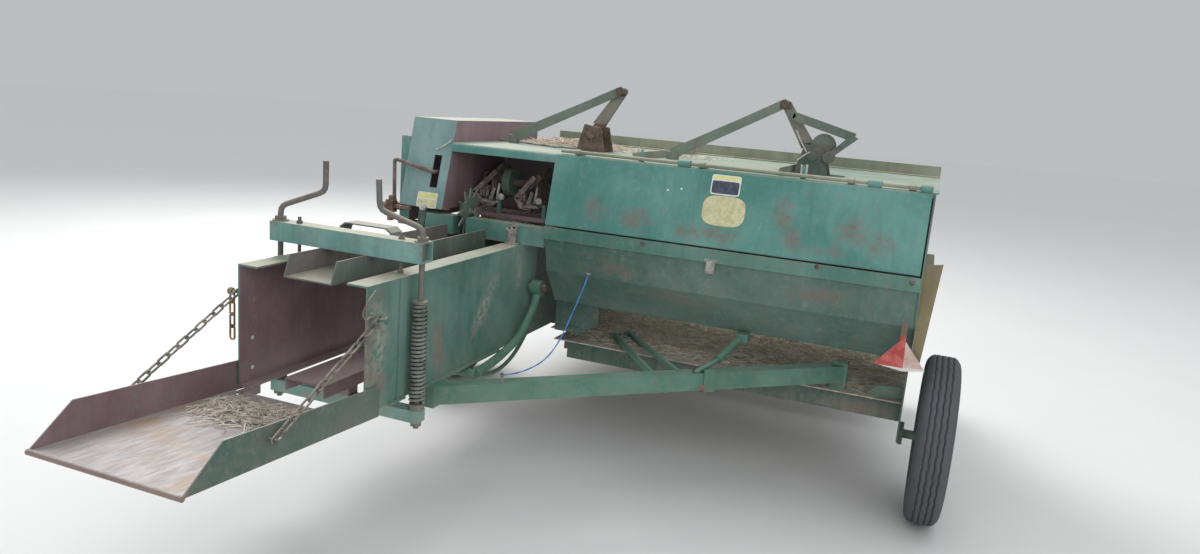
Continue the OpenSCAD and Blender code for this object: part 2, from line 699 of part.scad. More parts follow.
// Point on the beam's axis at a given x, to the whole millimetre.
function brace_at(x) = let (d = brace_b - brace_a, p = brace_a + d * (x - brace_a[0]) / d[0])
    [x, round(p[1]), round(p[2])];
strut_foot = brace_at(1046) + [0, -32, 37];
strut_knee = strut_foot + [66, 95, 40];
module brace_place() {
    d = brace_b - brace_a;
    translate(brace_a) rotate([0, 0, atan2(d[1], d[0])])
        rotate([0, -atan2(d[2], norm([d[0], d[1]])), 0]) children();
}
module brace_beam() {
    color([0.31, 0.49, 0.40]) {
        brace_place() translate([20, -28, -33]) cube([norm(brace_b - brace_a) - 20, 56, 66]);
        block([co, 330, case_z - 76], [brace_a[0] + 36, 430, case_z - wall_t]);
        block([brace_b[0] - 32, brace_b[1] - 20, floor_z + 4],
            [brace_b[0] + 30, brace_b[1] + 18, brace_b[2] + 44]);
    }
    color([0.34, 0.46, 0.38]) {
        brace_place() translate([996, -34, -39]) cube([44, 68, 84]);
        rod(strut_foot, strut_knee, 8);
        rod(strut_knee - [4, 6, 3], [1160, panel_foot_y - 12, 622], 14);
        block([1138, panel_foot_y - 42, 606], [1186, panel_foot_y + 14, 636]);
        for (f = [[brace_at(905) + [0, 23, 17], [560, 1376, 467]],
            [brace_at(985) + [0, 19, 24], [600, 1450, 467]]]) {
            rod(f[0], f[1], 13);
            translate([f[1][0] - 20, f[1][1] - 20, floor_z + 4]) cube([40, 40, 26]);
        }
    }
}

// Folded reflector on its strap: one half faces back, the other is turned outwards.
module reflector() {
    hinge_x = hood_r - 18;
    color([0.72, 0.24, 0.20]) {
        facing(1004, 1008, [[hinge_x - 96, 648], [hinge_x + 3, 634], [hinge_x, 742], [hinge_x - 9, 754]]);
        translate([hinge_x, 1004, 0]) rotate([0, 0, 24]) facing(0, 4, [[0, 634], [84, 638], [0, 742]]);
    }
    color([0.45, 0.30, 0.22]) {
        block([hinge_x - 21, 1008, 640], [hinge_x - 1, 1012, 806]);
        block([hinge_x - 21, 1012, 760], [hinge_x - 1, 1072.5, 764]);
    }
}

module tyre(x, y) {
    r = tyre_d / 2;
    ri = rim_d / 2;
    w = tyre_w / 2;
    color([0.22, 0.22, 0.23]) translate([x, y, r]) rotate([0, 90, 0]) rotate_extrude($fn = 96)
        polygon([[ri, -w * 0.72], [ri + 18, -w * 0.86], [r - 60, -w], [r - 28, -w * 0.94],
            [r - 8, -w * 0.76], [r, -w * 0.5],
            [r, w * 0.5], [r - 8, w * 0.76], [r - 28, w * 0.94], [r - 60, w], [ri + 18, w * 0.86],
                [ri, w * 0.72]]);
}
module rim(x, y, side) {
    ri = rim_d / 2 - gap;
    color([0.62, 0.55, 0.38]) translate([x, y, tyre_d / 2]) rotate([0, 90 * side, 0])
        rotate_extrude($fn = 72)
        polygon([[18, -30], [42, -30], [42, 0], [120, 14], [ri - 20, 6], [ri - 8, -44], [ri, -44],
            [ri, 48], [ri - 8, 48],
            [ri - 14, 14], [120, 22], [60, 12], [50, 52], [18, 52]]);
}
module tyre_right() { tyre(wheel_r_x, wheel_r_y); }
module rim_right() { rim(wheel_r_x, wheel_r_y, 1); }
module tyre_left() { tyre(wheel_l_x, wheel_l_y); }
module rim_left() { rim(wheel_l_x, wheel_l_y, -1); }

// Plunger as one heavy block, with its connecting rod.
gear_rear = case_len - 340;
plunger_front = gear_rear - 60;
module plunger() {
    color([0.30, 0.30, 0.29]) {
        block([-cs + 5, plunger_front - 415, case_z + 4],
            [cs - 5, plunger_front, case_top_z - 24]);
        block([-25, plunger_front, 640], [25, gear_rear, 700]);
        for (s = [-1, 1])
            block([s * (cs - 5), plunger_front - 395, case_z],
                [s * (cs - 45), plunger_front - 20, case_z + 4]);
    }
}

module gearbox() {
    color([0.33, 0.40, 0.35]) {
        block([-150, gear_rear + 80, case_z], [150, case_len, 860]);
        ycyl(case_len, flywheel_y - 98 - gap, 0, flywheel_z, 80);
        for (x = [-190, 150]) xcyl(x, x + 40, case_len - 170, 690, 90);
        block([-60, gear_rear, 610], [60, gear_rear + 80, 730]);
    }
}

module flywheel() {
    r = flywheel_d / 2;
    color([0.45, 0.40, 0.28]) translate([0, flywheel_y, flywheel_z]) rotate([-90, 0, 0]) {
        difference() {
            rotate_extrude($fn = 96) polygon([[22, -60], [60, -60], [60, -20], [r - 50, -8], [r - 50, -40],
                [r, -40],
                [r, 40], [r - 50, 40], [r - 50, 8], [60, 20], [60, 60], [22, 60]]);
            for (a = [0 : 60 : 300]) rotate(a) translate([135, 0, -30]) cylinder(r = 26, h = 60);
        }
        translate([0, 0, -98]) cylinder(r = 22, h = 250);
        translate([0, 0, 150]) cylinder(r = 40, h = 30);
        for (s = [-1, 1]) translate([s * 32 - 7, -18, 178]) cube([14, 36, 46]);
    }
}

// Frame below the front of the case: two channels, the left wheel's arm and the pivot plate.
module front_frame() {
    top = case_z - wall_t;
    color([0.30, 0.45, 0.38]) {
        for (s = [-1, 1]) block([s * 120, 1600, top - 60], [s * 180, case_len + 60, top]);
        block([-120, case_len, top - 60], [120, case_len + 60, top]);
        difference() {
            block([-120, case_len + 60, top - 60], [120, swing_y + 70, top - 48]);
            translate([0, swing_y, 0]) cylinder(r = 20 + gap, h = 2000);
        }
        block([wheel_l_x + 90, wheel_l_y - 50, spindle_z - 50], [wheel_l_x + 102, wheel_l_y + 50, top]);
        block([wheel_l_x + 102, wheel_l_y - 50, top - 60], [-180, wheel_l_y + 50, top]);
        xcyl(wheel_l_x - 38, wheel_l_x + 90, wheel_l_y, spindle_z, 17);
        xcyl(wheel_l_x + 74, wheel_l_x + 90, wheel_l_y, spindle_z, 44);
    }
}

// Drawbar, turned to the right for the road: pivot, box tongue, drive shaft rest and hitch eye.
module drawbar_place() {
    translate([0, swing_y, 0]) rotate(-drawbar_turn) children();
}
hub_top = case_z - wall_t - 60 - gap;
pto_slope = 8;
module pto_place() {
    drawbar_place() translate([0, 0, flywheel_z]) rotate([-90 - pto_slope, 0, 0]) children();
}
module drawbar() {
    z = hub_top - tongue_h - 10;
    color([0.31, 0.46, 0.39]) difference() {
        drawbar_place() {
            translate([0, 0, z]) cylinder(r = 68, h = hub_top - z);
            translate([0, 0, z]) cylinder(r = 20, h = hub_top - z + 24);
            translate([0, 0, hub_top + 12 + 2 * gap]) cylinder(r = 32, h = 14);
            block([-40, 40, z], [40, drawbar_len - 90, z + tongue_h]);
            block([-52, drawbar_len - 190, z + 20], [52, drawbar_len, z + 44]);
            translate([0, drawbar_len, z + 20]) cylinder(r = 52, h = 24);
            block([-30, 690, z + tongue_h], [30, 702, flywheel_z - 100]);
        }
        drawbar_place() translate([0, drawbar_len, 0]) cylinder(d = pin_d, h = 1000);
        pto_place() cylinder(r = 38 + gap, h = 1200);
    }
}

// Screw jack on the tongue: outer tube with its bracket and crank, and the leg on its foot.
jack_at = [84, 640];
module jack_tube() {
    z = hub_top - tongue_h - 10;
    color([0.40, 0.42, 0.40]) drawbar_place() {
        difference() {
            union() {
                translate([jack_at[0], jack_at[1], z - 20]) cylinder(r = 32, h = 540);
                block([40, jack_at[1] - 30, z], [jack_at[0], jack_at[1] + 30, z + tongue_h]);
            }
            translate([jack_at[0], jack_at[1], z - 21]) cylinder(r = 25, h = 530);
        }
        bent([[jack_at[0], jack_at[1], z + 519], [jack_at[0], jack_at[1], z + 545],
            [jack_at[0] + 110, jack_at[1], z + 545],
            [jack_at[0] + 110, jack_at[1], z + 610]], 8);
    }
}
module jack_leg() {
    color([0.48, 0.47, 0.44]) drawbar_place() translate([jack_at[0], jack_at[1], 0]) {
        cylinder(r = 60, h = 8);
        cylinder(r = 25 - gap, h = 520);
    }
}

// Guard of the drive shaft, with a cone at each end and the tractor's coupling in front.
module pto_guard() {
    color([0.62, 0.52, 0.20]) pto_place() {
        rotate_extrude() polygon([[0, 120], [38, 120], [66, -20], [70, -20], [70, 0], [38, 135], [38, 760],
            [60, 900],
            [57, 900], [36, 790], [0, 790]]);
    }
    color([0.45, 0.44, 0.42]) pto_place() {
        translate([0, 0, 60]) cylinder(r = 20, h = 60);
        for (s = [-1, 1]) translate([-15, s * 28 - 6, 8]) cube([30, 12, 56]);
        translate([0, 0, 60]) cylinder(r = 34, h = 12);
        difference() {
            translate([0, 0, 790]) cylinder(r = 30, h = 150);
            translate([0, 0, 860]) cylinder(r = 17.5, h = 200);
        }
    }
}

// Pickup frame: side plates with the arms to the hinge, and the cross tube behind the reel.
module pickup_side(x) {
    translate([x, 0, 0]) rotate([90, 0, 90]) linear_extrude(8) difference() {
        union() {
            translate([reel_y, reel_z]) circle(r = band_r + 22);
            polygon([[lift_y - 26, lift_z - 26], [2258, 268], [2336, 262], [reel_y, reel_z - 120],
                [reel_y, reel_z + 160], [2300, 700], [2240, 790],
                [2200, 790], [2190, 520], [lift_y - 26, lift_z + 26]]);
        }
        translate([lift_y, lift_z]) circle(r = 12 + gap);
        translate([reel_y, reel_z]) circle(r = 25 + gap);
    }
}
module pickup_frame() {
    color([0.30, 0.46, 0.38]) {
        pickup_side(reel_l - 8);
        pickup_side(reel_rt);
        xcyl(reel_l, reel_rt, 2285, 300, 24);
        block([reel_l, 2290, 278], [reel_rt, 2330, 284]);
    }
}
band_pitch = (reel_rt - reel_l) / (tines + 1);
module stripper_bands() {
    color([0.40, 0.36, 0.30]) for (i = [0 : tines])
        translate([reel_l + i * band_pitch + (i == 0 ? gap : 9), 0, 0]) rotate([90, 0, 90])
            linear_extrude(band_pitch - (i == 0 || i == tines ? 9 : 18) - (i == 0 || i == tines ? gap : 0))
                difference() {
                union() {
                    translate([reel_y, reel_z]) circle(r = band_r);
                    polygon([[2186, reel_z + 140], [2186, reel_z + 144], [reel_y, reel_z + band_r],
                        [reel_y, reel_z + band_r - 4]]);
                    polygon([[2330, 278], [2330, 284], [reel_y, reel_z - band_r + 4],
                        [reel_y, reel_z - band_r]]);
                }
                translate([reel_y, reel_z]) circle(r = band_r - 4);
                polygon([[reel_y, reel_z + band_r - 4], [2300, reel_z + 130], [2300, 299],
                    [reel_y, reel_z - band_r + 4]]);
            }
}

// Tined reel: shaft, end spiders, tine bars and pairs of spring tines.
module pickup_reel() {
    color([0.42, 0.35, 0.28]) {
        xcyl(reel_l - 20, reel_rt + 20, reel_y, reel_z, 25);
        for (x = [reel_l + band_pitch * 0.5 + 3, reel_rt - band_pitch * 0.5 - 9])
            translate([x, reel_y, reel_z])
            rotate([90, 0, 90]) linear_extrude(6) difference() {
                circle(r = 132);
                for (a = [0 : 90 : 270]) rotate(a + 45) translate([80, 0]) circle(r = 28);
            }
        for (k = [0 : tine_bars - 1]) translate([0, reel_y, reel_z]) rotate([k * 360 / tine_bars, 0, 0]) {
            xcyl(reel_l + band_pitch * 0.5, reel_rt - band_pitch * 0.5, 118, 0, 11);
            for (i = [1 : tines]) rod([reel_l + i * band_pitch, 118, 0],
                [reel_l + i * band_pitch, tine_r, -26], 3, $fn = 6);
        }
    }
}

// Rods that hold the hay down on the pickup.
module windguard() {
    color([0.38, 0.40, 0.34]) {
        xcyl(reel_l, reel_rt, 2232, 770, 14);
        for (i = [0 : 11]) {
            x = reel_l + 60 + i * (reel_rt - reel_l - 120) / 11;
            bent([[x, 2232, 770], [x, 2420, 760], [x, 2640, 660], [x, 2830, 560]], 5);
        }
    }
}

// Bale chute on its hinge: floor, side walls with slanted ends and a rolled rear edge.
lug_x = [-218, 210];
module chute() {
    h = chute_h;
    L = chute_len;
    color([0.42, 0.40, 0.36]) {
        translate([0, chute_y, chute_z]) rotate([-chute_tilt, 0, 0]) {
            difference() {
                block([-chute_x, -L, 0], [chute_x, -2, chute_t]);
                for (x = lug_x) block([x - 6, -30, -1], [x + 14, 0, chute_t + 1]);
            }
            xcyl(-236, 236, 0, 0, 6);
            xcyl(-chute_x - chute_t, chute_x + chute_t, -L, 0, 8);
            for (s = [-1, 1]) across(s < 0 ? -chute_x - chute_t : chute_x,
                s < 0 ? -chute_x : chute_x + chute_t,
                [[76, 0], [72, h * 0.92], [-L + 120, h], [-L, 4], [-L, 0]]);
        }
        for (s = [-1, 1]) {
            xcyl(s < 0 ? -chute_x - 44 : chute_x + chute_t, s < 0 ? -chute_x - chute_t : chute_x + 44,
                chain_foot[0], chain_foot[1], bolt_r);
            xcyl(s < 0 ? -chute_x - 44 : chute_x + 38, s < 0 ? -chute_x - 38 : chute_x + 44, chain_foot[0],
                chain_foot[1], 12);
        }
    }
}

// Chain of a number of links between two bolts, all in one plane at x.
bolt_r = 5;
link_w = 5.6;
chain_links = 9;
chain_x = 273;
chain_span = norm([chain_foot[0] - chain_top[0], chain_foot[1] - chain_top[1]]);
link_in = (chain_span + 2 * (bolt_r + gap) + gap * (chain_links - 1)) / chain_links;
module link() {
    r = chain_d / 2;
    straight = link_in - 2 * link_w;
    for (s = [0, 180]) rotate([0, 0, s]) {
        translate([0, straight / 2, 0]) rotate_extrude(angle = 180, start = 0) translate([link_w + r, 0])
            circle(r = r, $fn = 24);
        translate([link_w + r, straight / 2, 0]) rotate([90, 0, 0])
            cylinder(r = r, h = straight, $fn = 24);
    }
}
module links(n) {
    for (i = [0 : n - 1]) translate([0, link_in / 2 - bolt_r - gap + i * (link_in - gap), 0])
        rotate([0, i % 2 * 90, 0]) link();
}
module chain(side) {
    turn = atan2(chain_foot[1] - chain_top[1], chain_foot[0] - chain_top[0]);
    color([0.40, 0.30, 0.24]) translate([side * chain_x, chain_top[0], chain_top[1]]) rotate([turn, 0, 0])
        rotate([0, 90, 0]) links(chain_links);
}
module chain_right() { chain(1); }
module chain_left() { chain(-1); }
module chain_tail() {
    color([0.45, 0.30, 0.20]) translate([-chain_x - 22, chain_top[0], chain_top[1]]) rotate([-90, 0, 0])
        rotate([0, 90, 0]) links(3);
}

// Twine box on the case, and its hinged lid.
box_y = [2250, 2520];
box_x = [-235, 235];
box_top = 1120;
lid_pin = [box_y[0] - 14, box_top - 38];
module twine_box() {
    z = case_top_z + sheet;
    color([0.30, 0.45, 0.38]) {
        difference() {
            block([box_x[0], box_y[0], z], [box_x[1], box_y[1], box_top]);
            block([box_x[0] + sheet, box_y[0] + sheet, z + sheet],
                [box_x[1] - sheet, box_y[1] - sheet, box_top + 1]);
        }
        for (x = [-166, 74]) for (e = [0, 86]) block([x + e, lid_pin[0] - 6, lid_pin[1] - 8],
            [x + e + 6, box_y[0], lid_pin[1] + 6]);
        for (x = [-166, 74]) xcyl(x, x + 92, lid_pin[0], lid_pin[1], 4);
    }
}
module twine_lid() {
    color([0.31, 0.47, 0.40]) difference() {
        block([box_x[0] - 8, box_y[0] - 8, box_top - 30],
            [box_x[1] + 8, box_y[1] + 8, box_top + gap + 4]);
        block([box_x[0] - 5.3, box_y[0] - 5.3, box_top - 31],
            [box_x[1] + 5.3, box_y[1] + 5.3, box_top + gap]);
    }
    for (x = [-154, 86]) color([0.31, 0.47, 0.40]) difference() {
        union() {
            xcyl(x, x + 68, lid_pin[0], lid_pin[1], 7);
            block([x, lid_pin[0] - 1, lid_pin[1]], [x + 68, lid_pin[0] + 8, box_top - 28]);
        }
        xcyl(x - 1, x + 69, lid_pin[0], lid_pin[1], 4 + gap);
    }
}

// Eyes that guide the twine: one on the panel, one on the brace.
module twine_guide() {
    color([0.40, 0.38, 0.34]) {
        translate([541, 1042, 797]) rotate_extrude() translate([6.7, 0]) circle(r = 3, $fn = 24);
        block([538, 1047.5, 794], [544, 1055, 800]);
        translate([460, 496, 508]) rotate([90, 0, -10]) rotate_extrude() translate([6.7, 0])
            circle(r = 3, $fn = 24);
        translate([460, 496, 480.6]) cylinder(r = 4, h = 19.4);
    }
}

// Two strands of blue twine from the panel to the brace, as one soft cord.
twine_d = 6;
twine_pts = [[542.7, 1043.9, 804.6], [541, 1042, 797], [528, 1028, 737], [512, 1002, 668], [500, 958, 598],
    [491, 900, 536],
    [486, 826, 500], [483, 750, 488], [480, 660, 489], [473, 570, 497], [460, 496, 508], [459, 490, 509]];
module tube(pts, r, n = 8) {
    m = len(pts);
    dir = [for (i = [0 : m - 1]) let (a = pts[max(i - 1, 0)],
        b = pts[min(i + 1, m - 1)]) (b - a) / norm(b - a)];
    ring = [for (i = [0 : m - 1]) let (u = cross(dir[i], [1, 0, 0]) / norm(cross(dir[i], [1, 0, 0])),
        v = cross(dir[i], u))
        for (k = [0 : n - 1]) pts[i] + r * (u * cos(k * 360 / n) + v * sin(k * 360 / n))];
    polyhedron(ring, concat([[for (k = [n - 1 : -1 : 0]) k]], [[for (k = [0 : n - 1]) (m - 1) * n + k]],
        [for (i = [0 : m - 2]) for (k = [0 : n - 1]) [i * n + k, i * n + (k + 1) % n,
            (i + 1) * n + (k + 1) % n, (i + 1) * n + k]]));
}
module twine() {
    color([0.25, 0.45, 0.70]) tube(twine_pts, twine_d / 2);
}

place() bale_wall_left();
place() bale_wall_right();
place() lower_tension_rail();
place() upper_tension_rail();
place() upper_cross_beam();
place() lower_cross_beam();
place() tension_cranks();
place() tension_springs();
place() case_wall_left();
place() case_wall_right();
place() case_floor();
place() case_top();
place() needle_frame();
place() knotter_base();
place() knotter_shaft();
place() knotter_left();
place() knotter_right();
place() knotter_shield();
place() trip_arm();
place() measuring_wheel();
place() hood_top();
place() hood_door();
place() rear_rail();
place() rear_panels();
place() end_plate();
place() feeder_floor();
place() front_beam();
place() feeder_fork_left();
place() feeder_fork_right();
place() drive_shield();
place() axle_beam();
place() brace_beam();
place() reflector();
place() tyre_right();
place() rim_right();
place() tyre_left();
place() rim_left();
place() plunger();
place() gearbox();
place() flywheel();
place() front_frame();
place() drawbar();
place() jack_tube();
place() jack_leg();
place() pto_guard();
place() pickup_frame();
place() stripper_bands();
place() pickup_reel();
place() windguard();
place() chute();
place() chain_right();
place() chain_left();
place() chain_tail();
place() twine_box();
place() twine_lid();
place() twine_guide();
place() twine();
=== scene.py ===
# Square baler: finishes, chains, springs, tyres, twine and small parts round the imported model.
# Lengths are metres in the model's frame; at() takes millimetres from the rear end of the bale case.
import math
import bpy
import numpy as np
from mathutils import Matrix


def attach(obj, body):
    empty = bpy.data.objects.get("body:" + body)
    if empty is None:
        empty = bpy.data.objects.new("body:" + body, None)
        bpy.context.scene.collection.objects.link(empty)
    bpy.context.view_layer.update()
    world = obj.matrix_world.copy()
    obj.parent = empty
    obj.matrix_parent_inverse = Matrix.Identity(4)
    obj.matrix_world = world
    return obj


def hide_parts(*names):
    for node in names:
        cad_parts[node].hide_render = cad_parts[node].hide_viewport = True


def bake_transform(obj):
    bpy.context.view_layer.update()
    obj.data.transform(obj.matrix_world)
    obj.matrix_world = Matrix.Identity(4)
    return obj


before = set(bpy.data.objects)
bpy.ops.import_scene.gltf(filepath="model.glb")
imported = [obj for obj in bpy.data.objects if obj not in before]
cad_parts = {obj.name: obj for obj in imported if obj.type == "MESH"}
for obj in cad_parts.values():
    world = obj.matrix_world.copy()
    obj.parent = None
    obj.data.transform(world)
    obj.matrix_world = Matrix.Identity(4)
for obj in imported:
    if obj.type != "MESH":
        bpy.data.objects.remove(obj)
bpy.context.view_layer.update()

rng = np.random.default_rng(11)
caseOrigin = np.array([0.731, 1.957434, 0.0])


def at(x, y, z):
    return np.array([x, y, z]) / 1000 - caseOrigin


def unit(v):
    v = np.asarray(v, float)
    return v / np.linalg.norm(v, axis=-1, keepdims=True)


# Camera

camera = {"x": 1763, "y": -2097, "z": 1473, "yaw": 20.478, "pitch": -11.486, "roll": 4.704, "lens": 25.82}


def addCamera():
    yaw, pitch, roll = (math.radians(camera[k]) for k in ("yaw", "pitch", "roll"))
    ahead = np.array([-math.sin(yaw) * math.cos(pitch), math.cos(yaw) * math.cos(pitch), math.sin(pitch)])
    level = np.array([math.cos(yaw), math.sin(yaw), 0])
    upright = np.cross(level, ahead)
    right = level * math.cos(roll) + upright * math.sin(roll)
    up = upright * math.cos(roll) - level * math.sin(roll)
    cam = bpy.data.cameras.new("photoCamera")
    cam.lens, cam.sensor_width = camera["lens"], 36
    cam.clip_end = 200
    obj = bpy.data.objects.new("photoCamera", cam)
    bpy.context.collection.objects.link(obj)
    columns = np.column_stack([right, up, -ahead, at(camera["x"], camera["y"], camera["z"])])
    obj.matrix_world = Matrix([*columns.tolist(), [0, 0, 0, 1]])
    bpy.context.scene.camera = obj


addCamera()
print("camera placed")


# Node helpers

def addNode(tree, kind, inputs=None, **settings):
    made = tree.nodes.new("ShaderNode" + kind)
    for name, value in settings.items():
        setattr(made, name, value)
    for name, value in (inputs or {}).items():
        if isinstance(value, bpy.types.NodeSocket):
            tree.links.new(value, made.inputs[name])
        elif isinstance(value, tuple) and len(value) == 3 and made.inputs[name].type == "RGBA":
            made.inputs[name].default_value = (*value, 1)
        else:
            made.inputs[name].default_value = value
    return made


def maths(tree, operation, a, b=0.0, clamp=False):
    return addNode(tree, "Math", {0: a, 1: b}, operation=operation, use_clamp=clamp).outputs[0]


def ramp(tree, value, low, high, toLow=0.0, toHigh=1.0):
    inputs = {"Value": value, "From Min": low, "From Max": high, "To Min": toLow, "To Max": toHigh}
    return addNode(tree, "MapRange", inputs, interpolation_type="SMOOTHSTEP").outputs[0]


def mixColour(tree, factor, a, b, blend="MIX"):
    made = addNode(tree, "Mix", {0: factor}, data_type="RGBA", blend_type=blend)
    for index, value in ((6, a), (7, b)):
        if isinstance(value, bpy.types.NodeSocket):
            tree.links.new(value, made.inputs[index])
        else:
            made.inputs[index].default_value = (*value, 1)
    return made.outputs[2]


def noise(tree, vector, scale, detail=4.0, roughness=0.55, distortion=0.0):
    inputs = {"Vector": vector, "Scale": scale, "Detail": detail, "Roughness": roughness, "Distortion": distortion}
    return addNode(tree, "TexNoise", inputs).outputs[0]


def newGroup(name, inputs, outputs):
    tree = bpy.data.node_groups.new(name, "ShaderNodeTree")
    for label, kind, value in inputs:
        socket = tree.interface.new_socket(label, in_out="INPUT", socket_type="NodeSocket" + kind)
        socket.default_value = (*value, 1) if kind == "Color" else value
    for label, kind in outputs:
        tree.interface.new_socket(label, in_out="OUTPUT", socket_type="NodeSocket" + kind)
    start = tree.nodes.new("NodeGroupInput")
    end = tree.nodes.new("NodeGroupOutput")
    return tree, start.outputs, end.inputs


# Effects shared by the materials: field wear on paint, bare iron, and a soft spot at a place.

def fieldPaintGroup():
    tree, given, out = newGroup("fieldPaint", [
        ("Paint", "Color", (0.06, 0.2, 0.15)), ("Faded", "Color", (0.12, 0.27, 0.22)),
        ("Rust", "Float", 0.3), ("Dirt", "Float", 0.3), ("Spots", "Float", 0.0), ("Scuffs", "Float", 0.0)],
        [("Color", "Color"), ("Roughness", "Float"), ("Height", "Float")])
    place = addNode(tree, "TexCoord").outputs["Object"]
    facing = addNode(tree, "TexCoord").outputs["Normal"]
    broad = noise(tree, place, 2.6, 6, 0.62, 0.4)
    fine = noise(tree, place, 46, 5, 0.62)
    grain = noise(tree, place, 260, 3, 0.6)
    runs = addNode(tree, "Mapping", {"Vector": place, "Scale": (26, 26, 1.6)}).outputs[0]
    streaks = noise(tree, runs, 1.0, 5, 0.6, 0.6)
    colour = mixColour(tree, ramp(tree, broad, 0.36, 0.66), given["Paint"], given["Faded"])
    colour = mixColour(tree, ramp(tree, streaks, 0.45, 0.75, 0.0, 0.22), colour, (0.035, 0.085, 0.065))
    chalk = maths(tree, "MULTIPLY", ramp(tree, fine, 0.48, 0.72), ramp(tree, streaks, 0.6, 0.3))
    colour = mixColour(tree, maths(tree, "MULTIPLY", chalk, 0.45), colour, (0.24, 0.33, 0.28))
    colour = mixColour(tree, maths(tree, "MULTIPLY", given["Scuffs"], ramp(tree, fine, 0.36, 0.6)), colour, (0.30, 0.30, 0.26))
    # rust where the coarse pattern, the stated spots and the fine grain together pass a level
    blotch = noise(tree, place, 11, 12, 0.78, 0.3)
    level = maths(tree, "ADD", maths(tree, "MULTIPLY", blotch, 0.7), maths(tree, "MULTIPLY", fine, 0.3))
    level = maths(tree, "ADD", level, maths(tree, "MULTIPLY", given["Spots"], 0.175))
    level = maths(tree, "ADD", level, maths(tree, "MULTIPLY", given["Rust"], 0.26))
    stain = ramp(tree, level, 0.54, 0.74)
    rust = ramp(tree, level, 0.64, 0.80)
    chips = maths(tree, "MULTIPLY", ramp(tree, grain, 0.66, 0.70), ramp(tree, level, 0.52, 0.68))
    soft = addNode(tree, "Bevel", {"Radius": 0.0035}, samples=4).outputs[0]
    flat = addNode(tree, "NewGeometry").outputs["Normal"]
    same = addNode(tree, "VectorMath", {0: soft, 1: flat}, operation="DOT_PRODUCT").outputs["Value"]
    edge = maths(tree, "MULTIPLY", ramp(tree, same, 0.985, 0.88), ramp(tree, fine, 0.40, 0.56))
    worn = maths(tree, "MAXIMUM", maths(tree, "MAXIMUM", rust, chips), maths(tree, "MULTIPLY", edge, 0.75))
    colour = mixColour(tree, maths(tree, "MULTIPLY", stain, 0.40), colour, (0.19, 0.155, 0.135))
    rustColour = mixColour(tree, ramp(tree, grain, 0.3, 0.7), (0.125, 0.086, 0.074), (0.235, 0.175, 0.150))
    colour = mixColour(tree, maths(tree, "MULTIPLY", worn, 0.62), colour, rustColour)
    up = addNode(tree, "SeparateXYZ", {0: facing}).outputs[2]
    low = addNode(tree, "SeparateXYZ", {0: place}).outputs[2]
    dust = maths(tree, "MULTIPLY", ramp(tree, up, 0.3, 0.95), ramp(tree, broad, 0.25, 0.6, 0.35, 1.0))
    dust = maths(tree, "MULTIPLY", dust, ramp(tree, low, 0.48, 0.80, 0.25, 1.0))
    dust = maths(tree, "MAXIMUM", dust, maths(tree, "MULTIPLY", ramp(tree, low, 0.62, 0.2), ramp(tree, streaks, 0.3, 0.7)))
    dust = maths(tree, "MULTIPLY", dust, given["Dirt"], True)
    dusty = mixColour(tree, dust, colour, mixColour(tree, fine, (0.33, 0.29, 0.22), (0.52, 0.47, 0.36)))
    rough = maths(tree, "ADD", ramp(tree, broad, 0.3, 0.7, 0.42, 0.60), maths(tree, "MULTIPLY", worn, 0.28))
    rough = maths(tree, "ADD", rough, maths(tree, "MULTIPLY", dust, 0.25), True)
    height = maths(tree, "ADD", maths(tree, "MULTIPLY", worn, -0.5), maths(tree, "MULTIPLY", fine, 0.25))
    height = maths(tree, "ADD", height, maths(tree, "MULTIPLY", grain, 0.12))
    for name, value in (("Color", dusty), ("Roughness", rough), ("Height", height)):
        tree.links.new(value, out[name])
    return tree


def inwardGroup():
    # one where a sheet beside the bale case faces the middle of the case, zero elsewhere
    tree, given, out = newGroup("inwardFace", [("Middle", "Float", -0.731), ("Half", "Float", 0.244)], [("Value", "Float")])
    across = addNode(tree, "SeparateXYZ", {0: addNode(tree, "TexCoord").outputs["Object"]}).outputs[0]
    facing = addNode(tree, "SeparateXYZ", {0: addNode(tree, "TexCoord").outputs["Normal"]}).outputs[0]
    side = maths(tree, "DIVIDE", maths(tree, "SUBTRACT", given["Middle"], across), given["Half"])
    tree.links.new(ramp(tree, maths(tree, "MULTIPLY", side, facing), 0.5, 0.9), out["Value"])
    return tree


def ironGroup():
    tree, given, out = newGroup("bareIron", [
        ("Dark", "Color", (0.07, 0.045, 0.03)), ("Light", "Color", (0.22, 0.12, 0.07)), ("Dust", "Float", 0.3)],
        [("Color", "Color"), ("Roughness", "Float"), ("Metal", "Float"), ("Height", "Float")])
    place = addNode(tree, "TexCoord").outputs["Object"]
    facing = addNode(tree, "TexCoord").outputs["Normal"]
    patches = noise(tree, place, 22, 7, 0.62, 0.4)
    grain = noise(tree, place, 190, 4, 0.65)
    colour = mixColour(tree, ramp(tree, patches, 0.36, 0.64), given["Dark"], given["Light"])
    colour = mixColour(tree, ramp(tree, grain, 0.5, 0.75, 0, 0.6), colour, (0.34, 0.22, 0.14))
    up = addNode(tree, "SeparateXYZ", {0: facing}).outputs[2]
    dust = maths(tree, "MULTIPLY", ramp(tree, up, 0.2, 0.9), given["Dust"])
    dust = maths(tree, "MULTIPLY", dust, ramp(tree, patches, 0.3, 0.6))
    colour = mixColour(tree, dust, colour, (0.42, 0.37, 0.28))
    metal = ramp(tree, patches, 0.55, 0.3, 0.0, 0.5)
    rough = maths(tree, "ADD", ramp(tree, grain, 0.3, 0.7, 0.55, 0.8), maths(tree, "MULTIPLY", metal, -0.3), True)
    height = maths(tree, "ADD", maths(tree, "MULTIPLY", patches, 0.6), maths(tree, "MULTIPLY", grain, 0.4))
    for name, value in (("Color", colour), ("Roughness", rough), ("Metal", metal), ("Height", height)):
        tree.links.new(value, out[name])
    return tree


